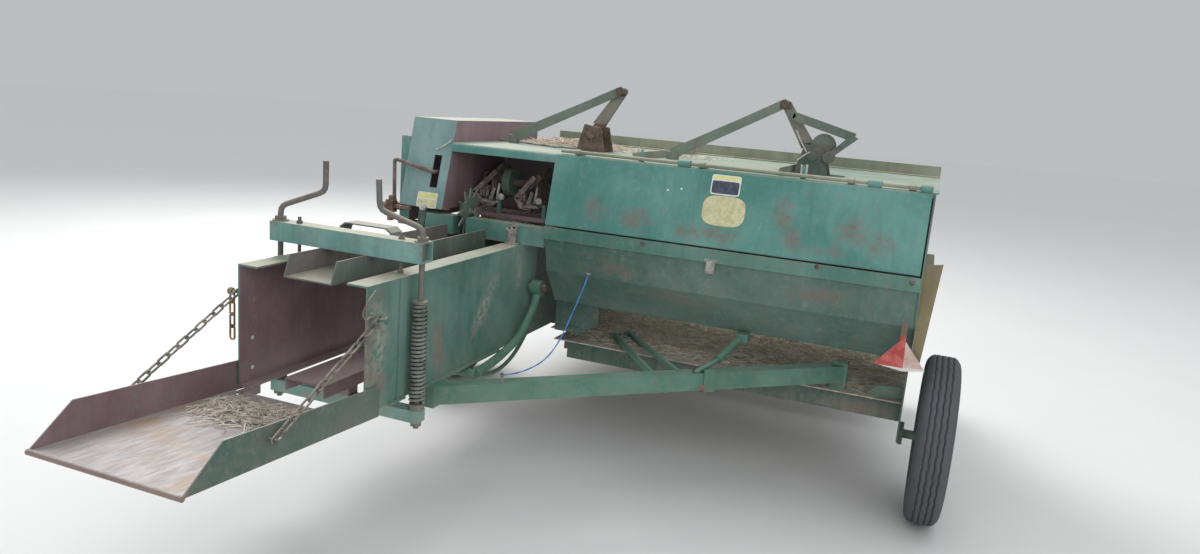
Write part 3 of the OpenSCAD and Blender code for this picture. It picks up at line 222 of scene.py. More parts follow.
def spotGroup():
    # one minus the distance from a place, measured in the spot's own radii, from 0 at the rim to 1 near the middle
    tree, given, out = newGroup("softSpot", [
        ("Place", "Vector", (0, 0, 0)), ("Turn", "Vector", (0, 0, 0)), ("Radii", "Vector", (0.1, 0.1, 0.1)), ("Strength", "Float", 1.0)],
        [("Value", "Float")])
    where = addNode(tree, "TexCoord").outputs["Object"]
    inputs = {"Vector": where, "Location": given["Place"], "Rotation": given["Turn"], "Scale": given["Radii"]}
    own = addNode(tree, "Mapping", inputs, vector_type="TEXTURE").outputs[0]
    far = addNode(tree, "VectorMath", {0: own}, operation="LENGTH").outputs["Value"]
    tree.links.new(maths(tree, "MULTIPLY", ramp(tree, far, 1.0, 0.25), given["Strength"]), out["Value"])
    return tree


def boxGroup():
    # one inside an upright box, given by its middle and half sizes, zero outside it
    tree, given, out = newGroup("insideBox", [("Middle", "Vector", (0, 0, 0)), ("Half", "Vector", (0.1, 0.1, 0.1))], [("Value", "Float")])
    inputs = {"Vector": addNode(tree, "TexCoord").outputs["Object"], "Location": given["Middle"], "Scale": given["Half"]}
    own = addNode(tree, "Mapping", inputs, vector_type="TEXTURE").outputs[0]
    parts = addNode(tree, "SeparateXYZ", {0: addNode(tree, "VectorMath", {0: own}, operation="ABSOLUTE").outputs[0]}).outputs
    most = maths(tree, "MAXIMUM", maths(tree, "MAXIMUM", parts[0], parts[1]), parts[2])
    tree.links.new(maths(tree, "LESS_THAN", most, 1.0), out["Value"])
    return tree


groups = {"fieldPaint": fieldPaintGroup(), "bareIron": ironGroup(), "softSpot": spotGroup(),
          "inwardFace": inwardGroup(), "insideBox": boxGroup()}
materials = {}


def newMaterial(name):
    material = bpy.data.materials.new(name)
    material.use_nodes = True
    tree = material.node_tree
    shader = tree.nodes["Principled BSDF"]
    materials[name] = material
    return tree, shader


def useGroup(tree, name, inputs):
    made = tree.nodes.new("ShaderNodeGroup")
    made.node_tree = groups[name]
    for key, value in inputs.items():
        if isinstance(value, bpy.types.NodeSocket):
            tree.links.new(value, made.inputs[key])
        elif made.inputs[key].type == "RGBA":
            made.inputs[key].default_value = (*value, 1)
        else:
            made.inputs[key].default_value = value
    return made.outputs


def bump(tree, shader, height, distance, strength=0.6):
    made = addNode(tree, "Bump", {"Height": height, "Distance": distance, "Strength": strength})
    tree.links.new(made.outputs[0], shader.inputs["Normal"])


def spotSum(tree, spots):
    # spots: middle in millimetres, radii in millimetres, turn in degrees, strength
    total = 0.0
    for middle, radii, turn, strength in spots:
        inputs = {"Place": tuple(at(*middle)), "Radii": tuple(r / 1000 for r in radii),
                  "Turn": tuple(math.radians(a) for a in turn), "Strength": strength}
        value = useGroup(tree, "softSpot", inputs)[0]
        total = value if isinstance(total, float) else maths(tree, "MAXIMUM", total, value)
    return total


def paint(name, colour, faded, rust=0.3, dirt=0.3, spots=(), scuffs=(), bumpSize=0.0012, inward=None):
    # inward: None, or the middle and half width between which faces that look inward are worn to maroon
    tree, shader = newMaterial(name)
    made = useGroup(tree, "fieldPaint", {"Paint": colour, "Faded": faded, "Rust": rust, "Dirt": dirt,
                                         "Spots": spotSum(tree, spots), "Scuffs": spotSum(tree, scuffs)})
    seen = made["Color"]
    if inward:
        inner = useGroup(tree, "fieldPaint", {"Paint": maroon, "Faded": maroonFaded, "Rust": 0.12, "Dirt": dirt})
        mask = useGroup(tree, "inwardFace", {"Middle": inward[0], "Half": inward[1]})["Value"]
        lips = useGroup(tree, "insideBox", {"Middle": (-0.731, -1.4, 0.48), "Half": (0.2405, 0.65, 0.08)})["Value"]
        mask = maths(tree, "MAXIMUM", mask, lips)
        seen = mixColour(tree, mask, seen, inner["Color"])
    tree.links.new(seen, shader.inputs["Base Color"])
    tree.links.new(made["Roughness"], shader.inputs["Roughness"])
    shader.inputs["Specular IOR Level"].default_value = 0.4
    bump(tree, shader, made["Height"], bumpSize)


def iron(name, dark, light, dust=0.3, bumpSize=0.0015):
    tree, shader = newMaterial(name)
    made = useGroup(tree, "bareIron", {"Dark": dark, "Light": light, "Dust": dust})
    for socket, key in (("Base Color", "Color"), ("Roughness", "Roughness"), ("Metallic", "Metal")):
        tree.links.new(made[key], shader.inputs[socket])
    bump(tree, shader, made["Height"], bumpSize)


green, greenFaded = (0.060, 0.185, 0.145), (0.130, 0.280, 0.235)
dull, dullFaded = (0.042, 0.112, 0.085), (0.095, 0.170, 0.140)
maroon, maroonFaded = (0.205, 0.128, 0.144), (0.290, 0.200, 0.218)
doorRust = [((548, 1050, 1051), (75, 60, 75), (0, 0, 0), 0.85), ((709, 1047, 1039), (95, 60, 75), (0, 0, 0), 1.0),
            ((939, 1041, 1011), (85, 60, 55), (0, 0, 0), 0.85), ((1053, 1043, 1022), (130, 60, 52), (0, 0, 0), 1.0),
            ((1274, 1065, 1125), (58, 80, 95), (0, 12, 0), 0.95), ((1318, 1047, 1040), (62, 80, 80), (0, -25, 0), 0.9),
            ((1410, 1047, 1015), (100, 60, 40), (0, 0, 0), 0.8), ((1525, 1055, 1075), (120, 80, 92), (0, 0, 0), 0.95),
            ((1484, 1044, 1024), (75, 80, 55), (0, 0, 0), 0.9), ((1622, 1054, 1062), (82, 80, 88), (0, 0, 0), 0.95)]
wallRust = [((247, 5, 620), (30, 70, 260), (0, 0, 0), 0.8), ((247, 40, 540), (30, 90, 100), (0, 0, 0), 0.9),
            ((247, 415, 585), (30, 62, 130), (14, 0, 0), 0.9), ((247, 60, 845), (30, 60, 30), (0, 0, 0), 0.7)]
wallScuffs = [((247, 35, 690), (30, 110, 220), (0, 0, 0), 1.0), ((247, 740, 680), (30, 55, 190), (-42, 0, 0), 1.0), ((247, 405, 600), (30, 38, 95), (14, 0, 0), 0.6),
              ((247, 1010, 760), (30, 50, 140), (0, 0, 0), 0.6)]
beamRust = [((283, 225, 985), (60, 60, 60), (0, 0, 0), 0.9), ((-283, 225, 1000), (50, 60, 40), (0, 0, 0), 0.8)]
panelRust = [((640, 1080, 830), (150, 90, 55), (0, 0, 0), 0.8), ((1450, 1060, 850), (150, 90, 50), (0, 0, 0), 0.75),
             ((900, 1100, 740), (220, 90, 60), (0, 0, 0), 0.6)]
axleRust = [((1600, 1275, 390), (260, 80, 40), (0, 0, 0), 0.7)]
paint("doorPaint", (0.060, 0.203, 0.172), (0.118, 0.283, 0.246), 0.14, 0.6, doorRust)
paint("wallPaint", (0.061, 0.158, 0.126), (0.135, 0.240, 0.202), 0.27, 0.75, wallRust, wallScuffs, inward=(-0.731, 0.244))
paint("beamPaint", (0.105, 0.245, 0.210), (0.215, 0.385, 0.350), 0.30, 0.85, beamRust)
paint("frontPaint", (0.185, 0.215, 0.155), (0.300, 0.310, 0.235), 0.35, 0.8)
paint("bracePaint", (0.050, 0.150, 0.110), (0.100, 0.215, 0.170), 0.22, 0.35)
paint("troughPaint", (0.085, 0.105, 0.090), (0.150, 0.170, 0.150), 0.22, 0.55, inward=(-0.731, 0.13))
paint("shieldPaint", (0.130, 0.235, 0.225), (0.215, 0.330, 0.320), 0.17, 0.8, inward=(0.9, 1.77))
paint("panelPaint", (0.058, 0.130, 0.103), (0.125, 0.197, 0.168), 0.34, 0.45, panelRust)
paint("framePaint", (0.036, 0.080, 0.064), (0.078, 0.115, 0.100), 0.30, 0.3, axleRust)
paint("starPaint", (0.105, 0.155, 0.125), (0.185, 0.235, 0.195), 0.25, 0.3)
paint("crankPaint", (0.090, 0.082, 0.075), (0.160, 0.155, 0.140), 0.5, 0.45)
paint("yellowPaint", (0.165, 0.130, 0.052), (0.245, 0.205, 0.100), 0.50, 0.2)
paint("rimPaint", (0.45, 0.36, 0.17), (0.60, 0.54, 0.36), 0.42, 0.6)
paint("maroonSheet", maroon, maroonFaded, 0.1, 0.45)
iron("rustyIron", (0.070, 0.042, 0.032), (0.21, 0.115, 0.075), 0.35)
iron("darkIron", (0.050, 0.038, 0.034), (0.135, 0.088, 0.070), 0.45)
iron("discIron", (0.15, 0.12, 0.12), (0.34, 0.28, 0.275), 0.2)
iron("paleIron", (0.16, 0.145, 0.130), (0.36, 0.32, 0.29), 0.3)
iron("chainIron", (0.12, 0.115, 0.105), (0.27, 0.235, 0.20), 0.2)
iron("chainRust", (0.20, 0.115, 0.065), (0.40, 0.25, 0.15), 0.2)
iron("springIron", (0.095, 0.120, 0.108), (0.185, 0.21, 0.19), 0.2)
iron("wornSteel", (0.17, 0.155, 0.14), (0.30, 0.26, 0.215), 0.5, 0.0008)
iron("floorSteel", (0.10, 0.075, 0.055), (0.24, 0.18, 0.12), 0.9)


def patched(name, base, patches):
    # one finish, with another inside each box of machine millimetres
    tree, shader = newMaterial(name)
    made = useGroup(tree, *base)
    colour, rough, height = made["Color"], made["Roughness"], made["Height"]
    for low, high, finish in patches:
        low, high = at(*low), at(*high)
        mask = useGroup(tree, "insideBox", {"Middle": tuple((low + high) / 2), "Half": tuple((high - low) / 2)})["Value"]
        other = useGroup(tree, *finish)
        colour = mixColour(tree, mask, colour, other["Color"])
        rough = addNode(tree, "Mix", {"Factor": mask, 2: rough, 3: other["Roughness"]}).outputs[0]
        height = addNode(tree, "Mix", {"Factor": mask, 2: height, 3: other["Height"]}).outputs[0]
    tree.links.new(colour, shader.inputs["Base Color"])
    tree.links.new(rough, shader.inputs["Roughness"])
    bump(tree, shader, height, 0.0012)


linkFinish = ("fieldPaint", {"Paint": (0.090, 0.138, 0.108), "Faded": (0.175, 0.220, 0.180), "Rust": 0.42, "Dirt": 0.5})
brownFinish = ("bareIron", {"Dark": (0.058, 0.043, 0.034), "Light": (0.150, 0.108, 0.082), "Dust": 0.5})
railFinish = ("fieldPaint", {"Paint": (0.056, 0.165, 0.125), "Faded": (0.115, 0.235, 0.190), "Rust": 0.28, "Dirt": 0.6, "Spots": 0.0})
paleIron = ("bareIron", {"Dark": (0.17, 0.18, 0.165), "Light": (0.36, 0.37, 0.34), "Dust": 0.3})
beamFinish = ("fieldPaint", {"Paint": green, "Faded": greenFaded, "Rust": 0.3, "Dirt": 0.5})
maroonFinish = ("fieldPaint", {"Paint": maroon, "Faded": maroonFaded, "Rust": 0.3, "Dirt": 0.5})
paleFinish = ("fieldPaint", {"Paint": (0.13, 0.20, 0.145), "Faded": (0.24, 0.31, 0.25), "Rust": 0.3, "Dirt": 0.3})
ironFinish = ("bareIron", {"Dark": (0.085, 0.060, 0.052), "Light": (0.20, 0.145, 0.125), "Dust": 0.35})
mountFinish = ("fieldPaint", {"Paint": (0.060, 0.088, 0.074), "Faded": (0.110, 0.130, 0.112), "Rust": 0.52, "Dirt": 0.4})
tanFinish = ("fieldPaint", {"Paint": (0.185, 0.175, 0.140), "Faded": (0.290, 0.270, 0.225), "Rust": 0.42, "Dirt": 0.4})
litterFinish = ("bareIron", {"Dark": (0.26, 0.235, 0.21), "Light": (0.56, 0.52, 0.46), "Dust": 0.6})
plateFinish = ("fieldPaint", {"Paint": (0.060, 0.120, 0.092), "Faded": (0.120, 0.190, 0.150), "Rust": 0.3, "Dirt": 0.4})
patched("linkPaint", linkFinish, [
    ((250, 1400, 1250), (440, 1620, 1378), brownFinish), ((1190, 1400, 1250), (1420, 1620, 1378), mountFinish),
    ((340, 1480, 1378), (457, 1520, 1506), tanFinish), ((1170, 1480, 1378), (1290, 1520, 1506), tanFinish),
    ((436, 1450, 1502), (482, 1525, 1548), brownFinish), ((1144, 1450, 1502), (1190, 1525, 1548), brownFinish)])
patched("litterBed", litterFinish, [((1625, 1250, 450.5), (1782, 1276, 512), plateFinish)])
patched("railPaint", railFinish, [((1010, 1000, 860), (1058, 1024, 930), paleIron)])
patched("tripFinish", ironFinish, [((-402, 1103, 900), (-345, 1146, 1300), beamFinish)])
patched("shaftFinish", ironFinish, [((-27, 1330, 1015), (13, 1470, 1155), paleFinish)])
patched("knotterFinish", ironFinish, [((-17, 1280, 880), (3, 1310, 1013), beamFinish), ((203, 1280, 880), (223, 1310, 1013), beamFinish)])
patched("knotterSpace", maroonFinish, [((-260, 1020, 880), (345, 1097.5, 1000), beamFinish)])


def reflectorFinish():
    # the half that faces back is red, the turned half is pale, and both have a white lower band
    tree, shader = newMaterial("reflectorFinish")
    place = addNode(tree, "TexCoord").outputs["Object"]
    pattern = noise(tree, place, 26, 6, 0.65)
    across = addNode(tree, "SeparateXYZ", {0: addNode(tree, "TexCoord").outputs["Normal"]}).outputs[0]
    high = addNode(tree, "SeparateXYZ", {0: place}).outputs[2]
    red = mixColour(tree, ramp(tree, pattern, 0.35, 0.65), (0.36, 0.035, 0.035), (0.50, 0.12, 0.10))
    pale = mixColour(tree, ramp(tree, pattern, 0.35, 0.65), (0.44, 0.27, 0.23), (0.58, 0.48, 0.42))
    colour = mixColour(tree, ramp(tree, across, 0.15, 0.25), red, pale)
    colour = mixColour(tree, ramp(tree, high, 0.6465, 0.6455), colour, (0.62, 0.60, 0.56))
    rusty = mixColour(tree, pattern, (0.10, 0.06, 0.045), (0.24, 0.15, 0.10))
    colour = mixColour(tree, ramp(tree, high, 0.756, 0.758), colour, rusty)
    tree.links.new(colour, shader.inputs["Base Color"])
    tree.links.new(ramp(tree, pattern, 0.3, 0.7, 0.35, 0.6), shader.inputs["Roughness"])
    bump(tree, shader, pattern, 0.0006)


reflectorFinish()


def chuteSheet():
    tree, shader = newMaterial("chuteSheet")
    place = addNode(tree, "TexCoord").outputs["Object"]
    slide = addNode(tree, "Mapping", {"Vector": place, "Scale": (48, 7, 48)}).outputs[0]
    scratches = noise(tree, slide, 1.4, 7, 0.7)
    patches = noise(tree, place, 6.5, 7, 0.6, 0.3)
    grain = noise(tree, place, 230, 4, 0.7)
    up = addNode(tree, "SeparateXYZ", {0: addNode(tree, "TexCoord").outputs["Normal"]}).outputs[2]
    floor = ramp(tree, up, 0.6, 0.9)
    outer = useGroup(tree, "fieldPaint", {"Paint": (0.060, 0.125, 0.100), "Faded": (0.13, 0.165, 0.14), "Rust": 0.45, "Dirt": 0.2})
    inner = useGroup(tree, "fieldPaint", {"Paint": maroon, "Faded": maroonFaded, "Rust": 0.25, "Dirt": 0.2})
    side = mixColour(tree, useGroup(tree, "inwardFace", {})["Value"], outer["Color"], inner["Color"])
    worn = mixColour(tree, ramp(tree, scratches, 0.35, 0.65), (0.280, 0.252, 0.243), (0.370, 0.338, 0.330))
    worn = mixColour(tree, ramp(tree, patches, 0.5, 0.68, 0, 0.8), worn, (0.36, 0.25, 0.17))
    worn = mixColour(tree, ramp(tree, grain, 0.55, 0.72, 0, 0.55), worn, (0.20, 0.13, 0.095))
    back = addNode(tree, "SeparateXYZ", {0: place}).outputs[1]
    lip = maths(tree, "MULTIPLY", ramp(tree, back, -2.634, -2.650), ramp(tree, floor, 0.6, 0.2))
    side = mixColour(tree, lip, side, mixColour(tree, patches, (0.19, 0.115, 0.095), (0.34, 0.245, 0.215)))
    tree.links.new(mixColour(tree, floor, side, worn), shader.inputs["Base Color"])
    tree.links.new(ramp(tree, scratches, 0.3, 0.7, 0.62, 0.42), shader.inputs["Roughness"])
    shader.inputs["Metallic"].default_value = 0.15
    bump(tree, shader, maths(tree, "ADD", grain, scratches), 0.0008)


def rubber():
    tree, shader = newMaterial("rubber")
    place = addNode(tree, "TexCoord").outputs["Object"]
    broad = noise(tree, place, 9, 6, 0.6)
    grain = noise(tree, place, 140, 5, 0.65)
    grooveShade = addNode(tree, "Attribute", attribute_name="groove").outputs["Fac"]
    colour = mixColour(tree, broad, (0.050, 0.053, 0.060), (0.100, 0.106, 0.119))
    colour = mixColour(tree, maths(tree, "MULTIPLY", ramp(tree, grain, 0.5, 0.7), 0.35), colour, (0.14, 0.125, 0.10))
    # painted shade: the tread's grooves, marked by the groove attribute, are darkened to near black
    colour = mixColour(tree, maths(tree, "MULTIPLY", grooveShade, ramp(tree, broad, 0.3, 0.6, 0.2, 0.7)), colour, (0.030, 0.031, 0.036))
    tree.links.new(colour, shader.inputs["Base Color"])
    tree.links.new(ramp(tree, broad, 0.3, 0.7, 0.66, 0.86), shader.inputs["Roughness"])
    bump(tree, shader, grain, 0.001)


def plain(name, low, high, scale, rough, bumpSize=0.0005):
    tree, shader = newMaterial(name)
    place = addNode(tree, "TexCoord").outputs["Object"]
    pattern = noise(tree, place, scale, 6, 0.65)
    tree.links.new(mixColour(tree, ramp(tree, pattern, 0.35, 0.65), low, high), shader.inputs["Base Color"])
    tree.links.new(ramp(tree, pattern, 0.3, 0.7, rough, rough + 0.15), shader.inputs["Roughness"])
    bump(tree, shader, pattern, bumpSize)


chuteSheet()
rubber()
plain("yellowGuard", (0.46, 0.34, 0.06), (0.58, 0.47, 0.16), 12, 0.45)
plain("straw", (0.36, 0.28, 0.15), (0.62, 0.53, 0.34), 40, 0.6)
plain("oldStraw", (0.44, 0.39, 0.335), (0.74, 0.67, 0.58), 30, 0.7)
plain("darkStraw", (0.13, 0.100, 0.078), (0.34, 0.275, 0.215), 30, 0.7)
plain("chuteHay", (0.33, 0.28, 0.23), (0.66, 0.60, 0.52), 45, 0.7)
plain("hayFluff", (0.50, 0.38, 0.29), (0.72, 0.62, 0.50), 60, 0.7)
plain("brightSteel", (0.38, 0.36, 0.33), (0.55, 0.53, 0.50), 60, 0.4)
plain("blueFibre", (0.03, 0.14, 0.42), (0.10, 0.30, 0.66), 320, 0.55, 0.0008)
plain("labelRim", (0.58, 0.60, 0.55), (0.70, 0.72, 0.66), 40, 0.45)
plain("labelYellow", (0.55, 0.54, 0.18), (0.68, 0.66, 0.30), 40, 0.45)
plain("labelDark", (0.035, 0.045, 0.075), (0.075, 0.085, 0.115), 60, 0.4)
plain("labelCream", (0.46, 0.43, 0.24), (0.60, 0.57, 0.36), 55, 0.5)
plain("paleFloor", (0.655, 0.655, 0.64), (0.665, 0.665, 0.65), 1.5, 0.85, 0.0)
print("materials made:", len(materials))


def dress():
    finish = {node: "beamPaint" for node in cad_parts}
    byFinish = {
        "doorPaint": ["hood_door", "hood_top"], "wallPaint": ["bale_wall_right", "bale_wall_left"],
        "maroonSheet": ["lower_tension_rail"], "railPaint": ["rear_rail"], "shieldPaint": ["knotter_shield"],
        "panelPaint": ["rear_panels", "end_plate"], "frontPaint": ["front_beam"],
        "framePaint": ["case_wall_left", "case_wall_right", "case_top", "axle_beam", "front_frame", "gearbox", "pickup_frame"],
        "linkPaint": ["feeder_fork_left", "feeder_fork_right"], "crankPaint": ["tension_cranks"], "troughPaint": ["upper_tension_rail"], "bracePaint": ["brace_beam", "needle_frame"], "yellowPaint": ["drive_shield", "flywheel"],
        "rimPaint": ["rim_right", "rim_left"], "chainIron": ["chain_right", "chain_left", "chain_tail"],
        "rustyIron": ["pickup_reel", "plunger"], "starPaint": ["measuring_wheel"], "tripFinish": ["trip_arm"],
        "shaftFinish": ["knotter_shaft"], "knotterFinish": ["knotter_left", "knotter_right"], "knotterSpace": ["knotter_base"],
        "springIron": ["tension_springs"], "wornSteel": ["stripper_bands", "windguard", "jack_leg", "jack_tube", "twine_guide", "case_floor"],
        "litterBed": ["feeder_floor"], "chuteSheet": ["chute"], "rubber": ["tyre_right", "tyre_left"],
        "reflectorFinish": ["reflector"], "yellowGuard": ["pto_guard"], "blueFibre": ["twine"]}
    for name, nodes in byFinish.items():
        for node in nodes:
            finish[node] = name
    for node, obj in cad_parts.items():
        obj.data.materials.clear()
        obj.data.materials.append(materials[finish[node]])


dress()
print("nodes dressed:", len(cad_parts))


# Surfaces

class Shape:
    # points, four-sided faces and three-sided faces, gathered from several surfaces
    def __init__(self):
        self.points, self.quads, self.tris, self.marks, self.count = [], [], [], [], 0

    def add(self, points, quads, tris=None, mark=None):
        points = np.asarray(points, float).reshape(-1, 3)
        self.points.append(points)
        self.quads.append(np.asarray(quads, int).reshape(-1, 4) + self.count)
        if tris is not None:
            self.tris.append(np.asarray(tris, int).reshape(-1, 3) + self.count)
        self.marks.append(np.zeros(len(points)) if mark is None else np.asarray(mark, float).ravel())
        self.count += len(points)

    def build(self, name, material, body=None, smooth=True, markName=None):
        mesh = bpy.data.meshes.new(name)
        faces = np.concatenate(self.quads).tolist() + (np.concatenate(self.tris).tolist() if self.tris else [])
        mesh.from_pydata(np.concatenate(self.points).tolist(), [], faces)
        mesh.polygons.foreach_set("use_smooth", np.full(len(mesh.polygons), smooth))
        if markName:
            mesh.attributes.new(markName, "FLOAT", "POINT").data.foreach_set("value", np.concatenate(self.marks))
        mesh.materials.append(materials[material])
        mesh.update()
        obj = bpy.data.objects.new(name, mesh)
        bpy.context.collection.objects.link(obj)
        if body:
            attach(obj, body)
        return obj


def gridQuads(rows, cols, closeRows=False, closeCols=True):
    # one face between each two neighbouring rows and columns
    r = np.arange(rows if closeRows else rows - 1)[:, None]
    c = np.arange(cols if closeCols else cols - 1)[None, :]
    nextRow, nextCol = (r + 1) % rows, (c + 1) % cols
    return np.stack(np.broadcast_arrays(r * cols + c, r * cols + nextCol, nextRow * cols + nextCol, nextRow * cols + c), -1).reshape(-1, 4)


def sweep(shape, paths, radius, sides=8, closed=False, across=(0.31, 0.47, 0.83)):
    # a ring of the given radius round every point of each path, square to the path's direction
    paths = np.asarray(paths, float)
    paths = paths[None] if paths.ndim == 2 else paths
    count, steps = paths.shape[:2]
    ahead = np.roll(paths, -1, 1) - np.roll(paths, 1, 1)
    if not closed:
        ahead[:, 0], ahead[:, -1] = paths[:, 1] - paths[:, 0], paths[:, -1] - paths[:, -2]
    ahead = unit(ahead)
    first = unit(np.cross(ahead, across))
    second = np.cross(ahead, first)
    angle = np.arange(sides) * 2 * np.pi / sides
    size = np.broadcast_to(np.asarray(radius, float), (count, steps))[..., None, None]
    ring = first[:, :, None] * np.cos(angle)[:, None] + second[:, :, None] * np.sin(angle)[:, None]
    points = paths[:, :, None] + size * ring
    one = gridQuads(steps, sides, closed)
    offset = np.arange(count)[:, None, None] * steps * sides
    if closed:
        shape.add(points, (one[None] + offset).reshape(-1, 4))
        return
    poles = np.stack([paths[:, 0], paths[:, -1]], 1).reshape(-1, 3)
    k = np.arange(sides)
    base = count * steps * sides + np.arange(count)[:, None] * 2
    start = np.arange(count)[:, None] * steps * sides + k
    stop = start + (steps - 1) * sides
    turn = (k + 1) % sides - k
    tris = np.concatenate([np.stack([np.broadcast_to(base, start.shape), start + turn, start], -1).reshape(-1, 3),
                           np.stack([np.broadcast_to(base + 1, stop.shape), stop, stop + turn], -1).reshape(-1, 3)])
    shape.add(np.concatenate([points.reshape(-1, 3), poles]), (one[None] + offset).reshape(-1, 4), tris)


def turned(shape, profile, places, axes, sides=24, phase=0.0):
    # a profile of (radius, height) points turned about an axis at each place
    profile = np.asarray(profile, float)
    places, axes = np.atleast_2d(places), unit(np.atleast_2d(axes))
    other = np.where(np.abs(axes[:, :1]) < 0.9, [[1.0, 0, 0]], [[0, 1.0, 0]])
    first = unit(np.cross(axes, other))
    second = np.cross(axes, first)
    angle = phase + np.arange(sides) * 2 * np.pi / sides
    ring = first[:, None] * np.cos(angle)[None, :, None] + second[:, None] * np.sin(angle)[None, :, None]
    points = (places[:, None, None] + axes[:, None, None] * profile[None, :, None, 1:] + ring[:, None] * profile[None, :, None, :1])
    quads = gridQuads(len(profile), sides)
    offset = np.arange(len(places))[:, None, None] * len(profile) * sides
    shape.add(points, (quads[None] + offset).reshape(-1, 4))


def curveThrough(points, steps):
    # a smooth curve through the points: on each stretch a cubic whose slope at a point joins its two neighbours
    p = np.asarray(points, float)
    slope = np.gradient(p, axis=0)
    t = np.linspace(0, len(p) - 1 - 1e-9, steps)
    i, f = t.astype(int), (t % 1)[:, None]
    return ((2 * f**3 - 3 * f**2 + 1) * p[i] + (f**3 - 2 * f**2 + f) * slope[i]
            + (3 * f**2 - 2 * f**3) * p[i + 1] + (f**3 - f**2) * slope[i + 1])


# Twine

twine = {"across": 0.006, "steps": 90, "sides": 12, "lay": 34.0,
         "points": [(542.7, 1043.9, 804.6), (541, 1042, 797), (528, 1028, 737), (512, 1002, 668), (500, 958, 598), (491, 900, 536),
                    (486, 826, 500), (483, 750, 488), (480, 660, 489), (473, 570, 497), (460, 496, 508), (459, 490, 509)]}


def addTwine():
    # two strands: the ring round the path is longer along a line that turns as it goes, so that the strands show
    path = curveThrough([at(*p) for p in twine["points"]], twine["steps"])
    ahead = unit(np.gradient(path, axis=0))
    first = unit(np.cross(ahead, (0.9, 0.1, 0.2)))
    second = np.cross(ahead, first)
    run = np.concatenate([[0], np.cumsum(np.linalg.norm(np.diff(path, axis=0), axis=1))])
    angle = np.arange(twine["sides"]) * 2 * np.pi / twine["sides"]
    lobes = 0.80 + 0.20 * np.cos(2 * (angle[None] - run[:, None] * twine["lay"]))
    radius = twine["across"] / 2 * lobes[..., None]
    points = path[:, None] + radius * (first[:, None] * np.cos(angle)[:, None] + second[:, None] * np.sin(angle)[:, None])
    shape = Shape()
    k = np.arange(twine["sides"])
    last = (twine["steps"] - 1) * twine["sides"]
    pole = twine["steps"] * twine["sides"]
    turn = (k + 1) % twine["sides"]
    tris = np.concatenate([np.stack([np.full_like(k, pole), turn, k], -1), np.stack([np.full_like(k, pole + 1), last + k, last + turn], -1)])
    shape.add(np.concatenate([points.reshape(-1, 3), path[[0, -1]]]), gridQuads(twine["steps"], twine["sides"]), tris)
    obj = shape.build("twineCord", "blueFibre", "chassis")
    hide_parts("twine")


addTwine()
print("twine laid")


# Chains

chain = {"wire": 0.0035, "halfWidth": 0.0056, "bolt": 0.005, "gap": 0.0003, "links": 13, "tail": 4, "beside": 273,
         "top": (25, 777), "foot": (-419, 545), "sides": 8, "arc": 9}


def linkPath(length):
    # a long ring: two straight sides joined by two half circles
    bend = chain["halfWidth"] + chain["wire"]
    half = length / 2 - chain["halfWidth"]
    a = np.linspace(-np.pi / 2, np.pi / 2, chain["arc"])
    top = np.stack([half + bend * np.cos(a), bend * np.sin(a)], -1)
    path = np.concatenate([top, -top])
    return np.stack([path[:, 0], path[:, 1], np.zeros(len(path))], -1)


def linkRow(start, stop, count):
    ahead = unit(stop - start)
    side = np.array([1.0, 0, 0])
    other = np.cross(ahead, side)
    span = np.linalg.norm(stop - start)
    inside = (span + 2 * (chain["bolt"] + chain["gap"]) + chain["gap"] * (count - 1)) / count
    middle = inside / 2 - chain["bolt"] - chain["gap"] + np.arange(count) * (inside - chain["gap"])
    local = linkPath(inside)
    turn = np.radians(90 * (np.arange(count) % 2))
    wide = np.cos(turn)[:, None] * other + np.sin(turn)[:, None] * side
    return start + ahead * (middle[:, None, None] + local[None, :, :1]) + wide[:, None] * local[None, :, 1:2]


def addChains():
    for name, side, node in (("chuteChainRight", 1, "chain_right"), ("chuteChainLeft", -1, "chain_left")):
        start = at(side * chain["beside"], *chain["top"])
        stop = at(side * chain["beside"], *chain["foot"])
        shape = Shape()
        sweep(shape, linkRow(start, stop, chain["links"]), chain["wire"], chain["sides"], True, across=(0.05, 0.3, 0.95))
        obj = shape.build(name, "chainIron")
        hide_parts(node)
        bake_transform(obj)
        pitch = np.linalg.norm(stop - start) / chain["links"]
    # the loose end on the left hangs straight down from the same bolt
    start = at(-chain["beside"] - 22, *chain["top"])
    shape = Shape()
    sweep(shape, linkRow(start, start - (0, 0, chain["tail"] * pitch), chain["tail"]), chain["wire"], chain["sides"], True, across=(0.3, 0.95, 0.05))
    obj = shape.build("chainLooseEnd", "chainRust", "chassis")
    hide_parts("chain_tail")


addChains()
print("chains hung")


# Tension springs

spring = {"x": 283, "y": 233, "low": 449, "length": 0.340, "radius": 0.0225, "wire": 0.0049, "turns": 24, "steps": 24, "sides": 8}


def addSprings():
    # a helix of even pitch
    shape = Shape()
    t = np.linspace(0, 1, spring["turns"] * spring["steps"])
    angle = 2 * np.pi * spring["turns"] * t
    inner = spring["length"] - 2 * spring["wire"]
    height = spring["wire"] + inner * t
    for side in (-1, 1):
        place = at(side * spring["x"], spring["y"], spring["low"])
        path = np.stack([spring["radius"] * np.cos(angle), spring["radius"] * np.sin(angle) * side, height], -1) + place
        sweep(shape, path, spring["wire"], spring["sides"], across=(0, 0, 1))
    obj = shape.build("tensionCoils", "springIron", "chassis")
    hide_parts("tension_springs")


addSprings()
print("springs wound")


# Tyres

tyre = {"radius": 0.320, "rim": 0.1905, "half": 0.064, "around": 240, "groove": 0.0045, "zigzag": 0.0016, "zigs": 40,
        "grooves": (-0.030, -0.0105, 0.0105, 0.030), "grooveHalf": 0.0028}


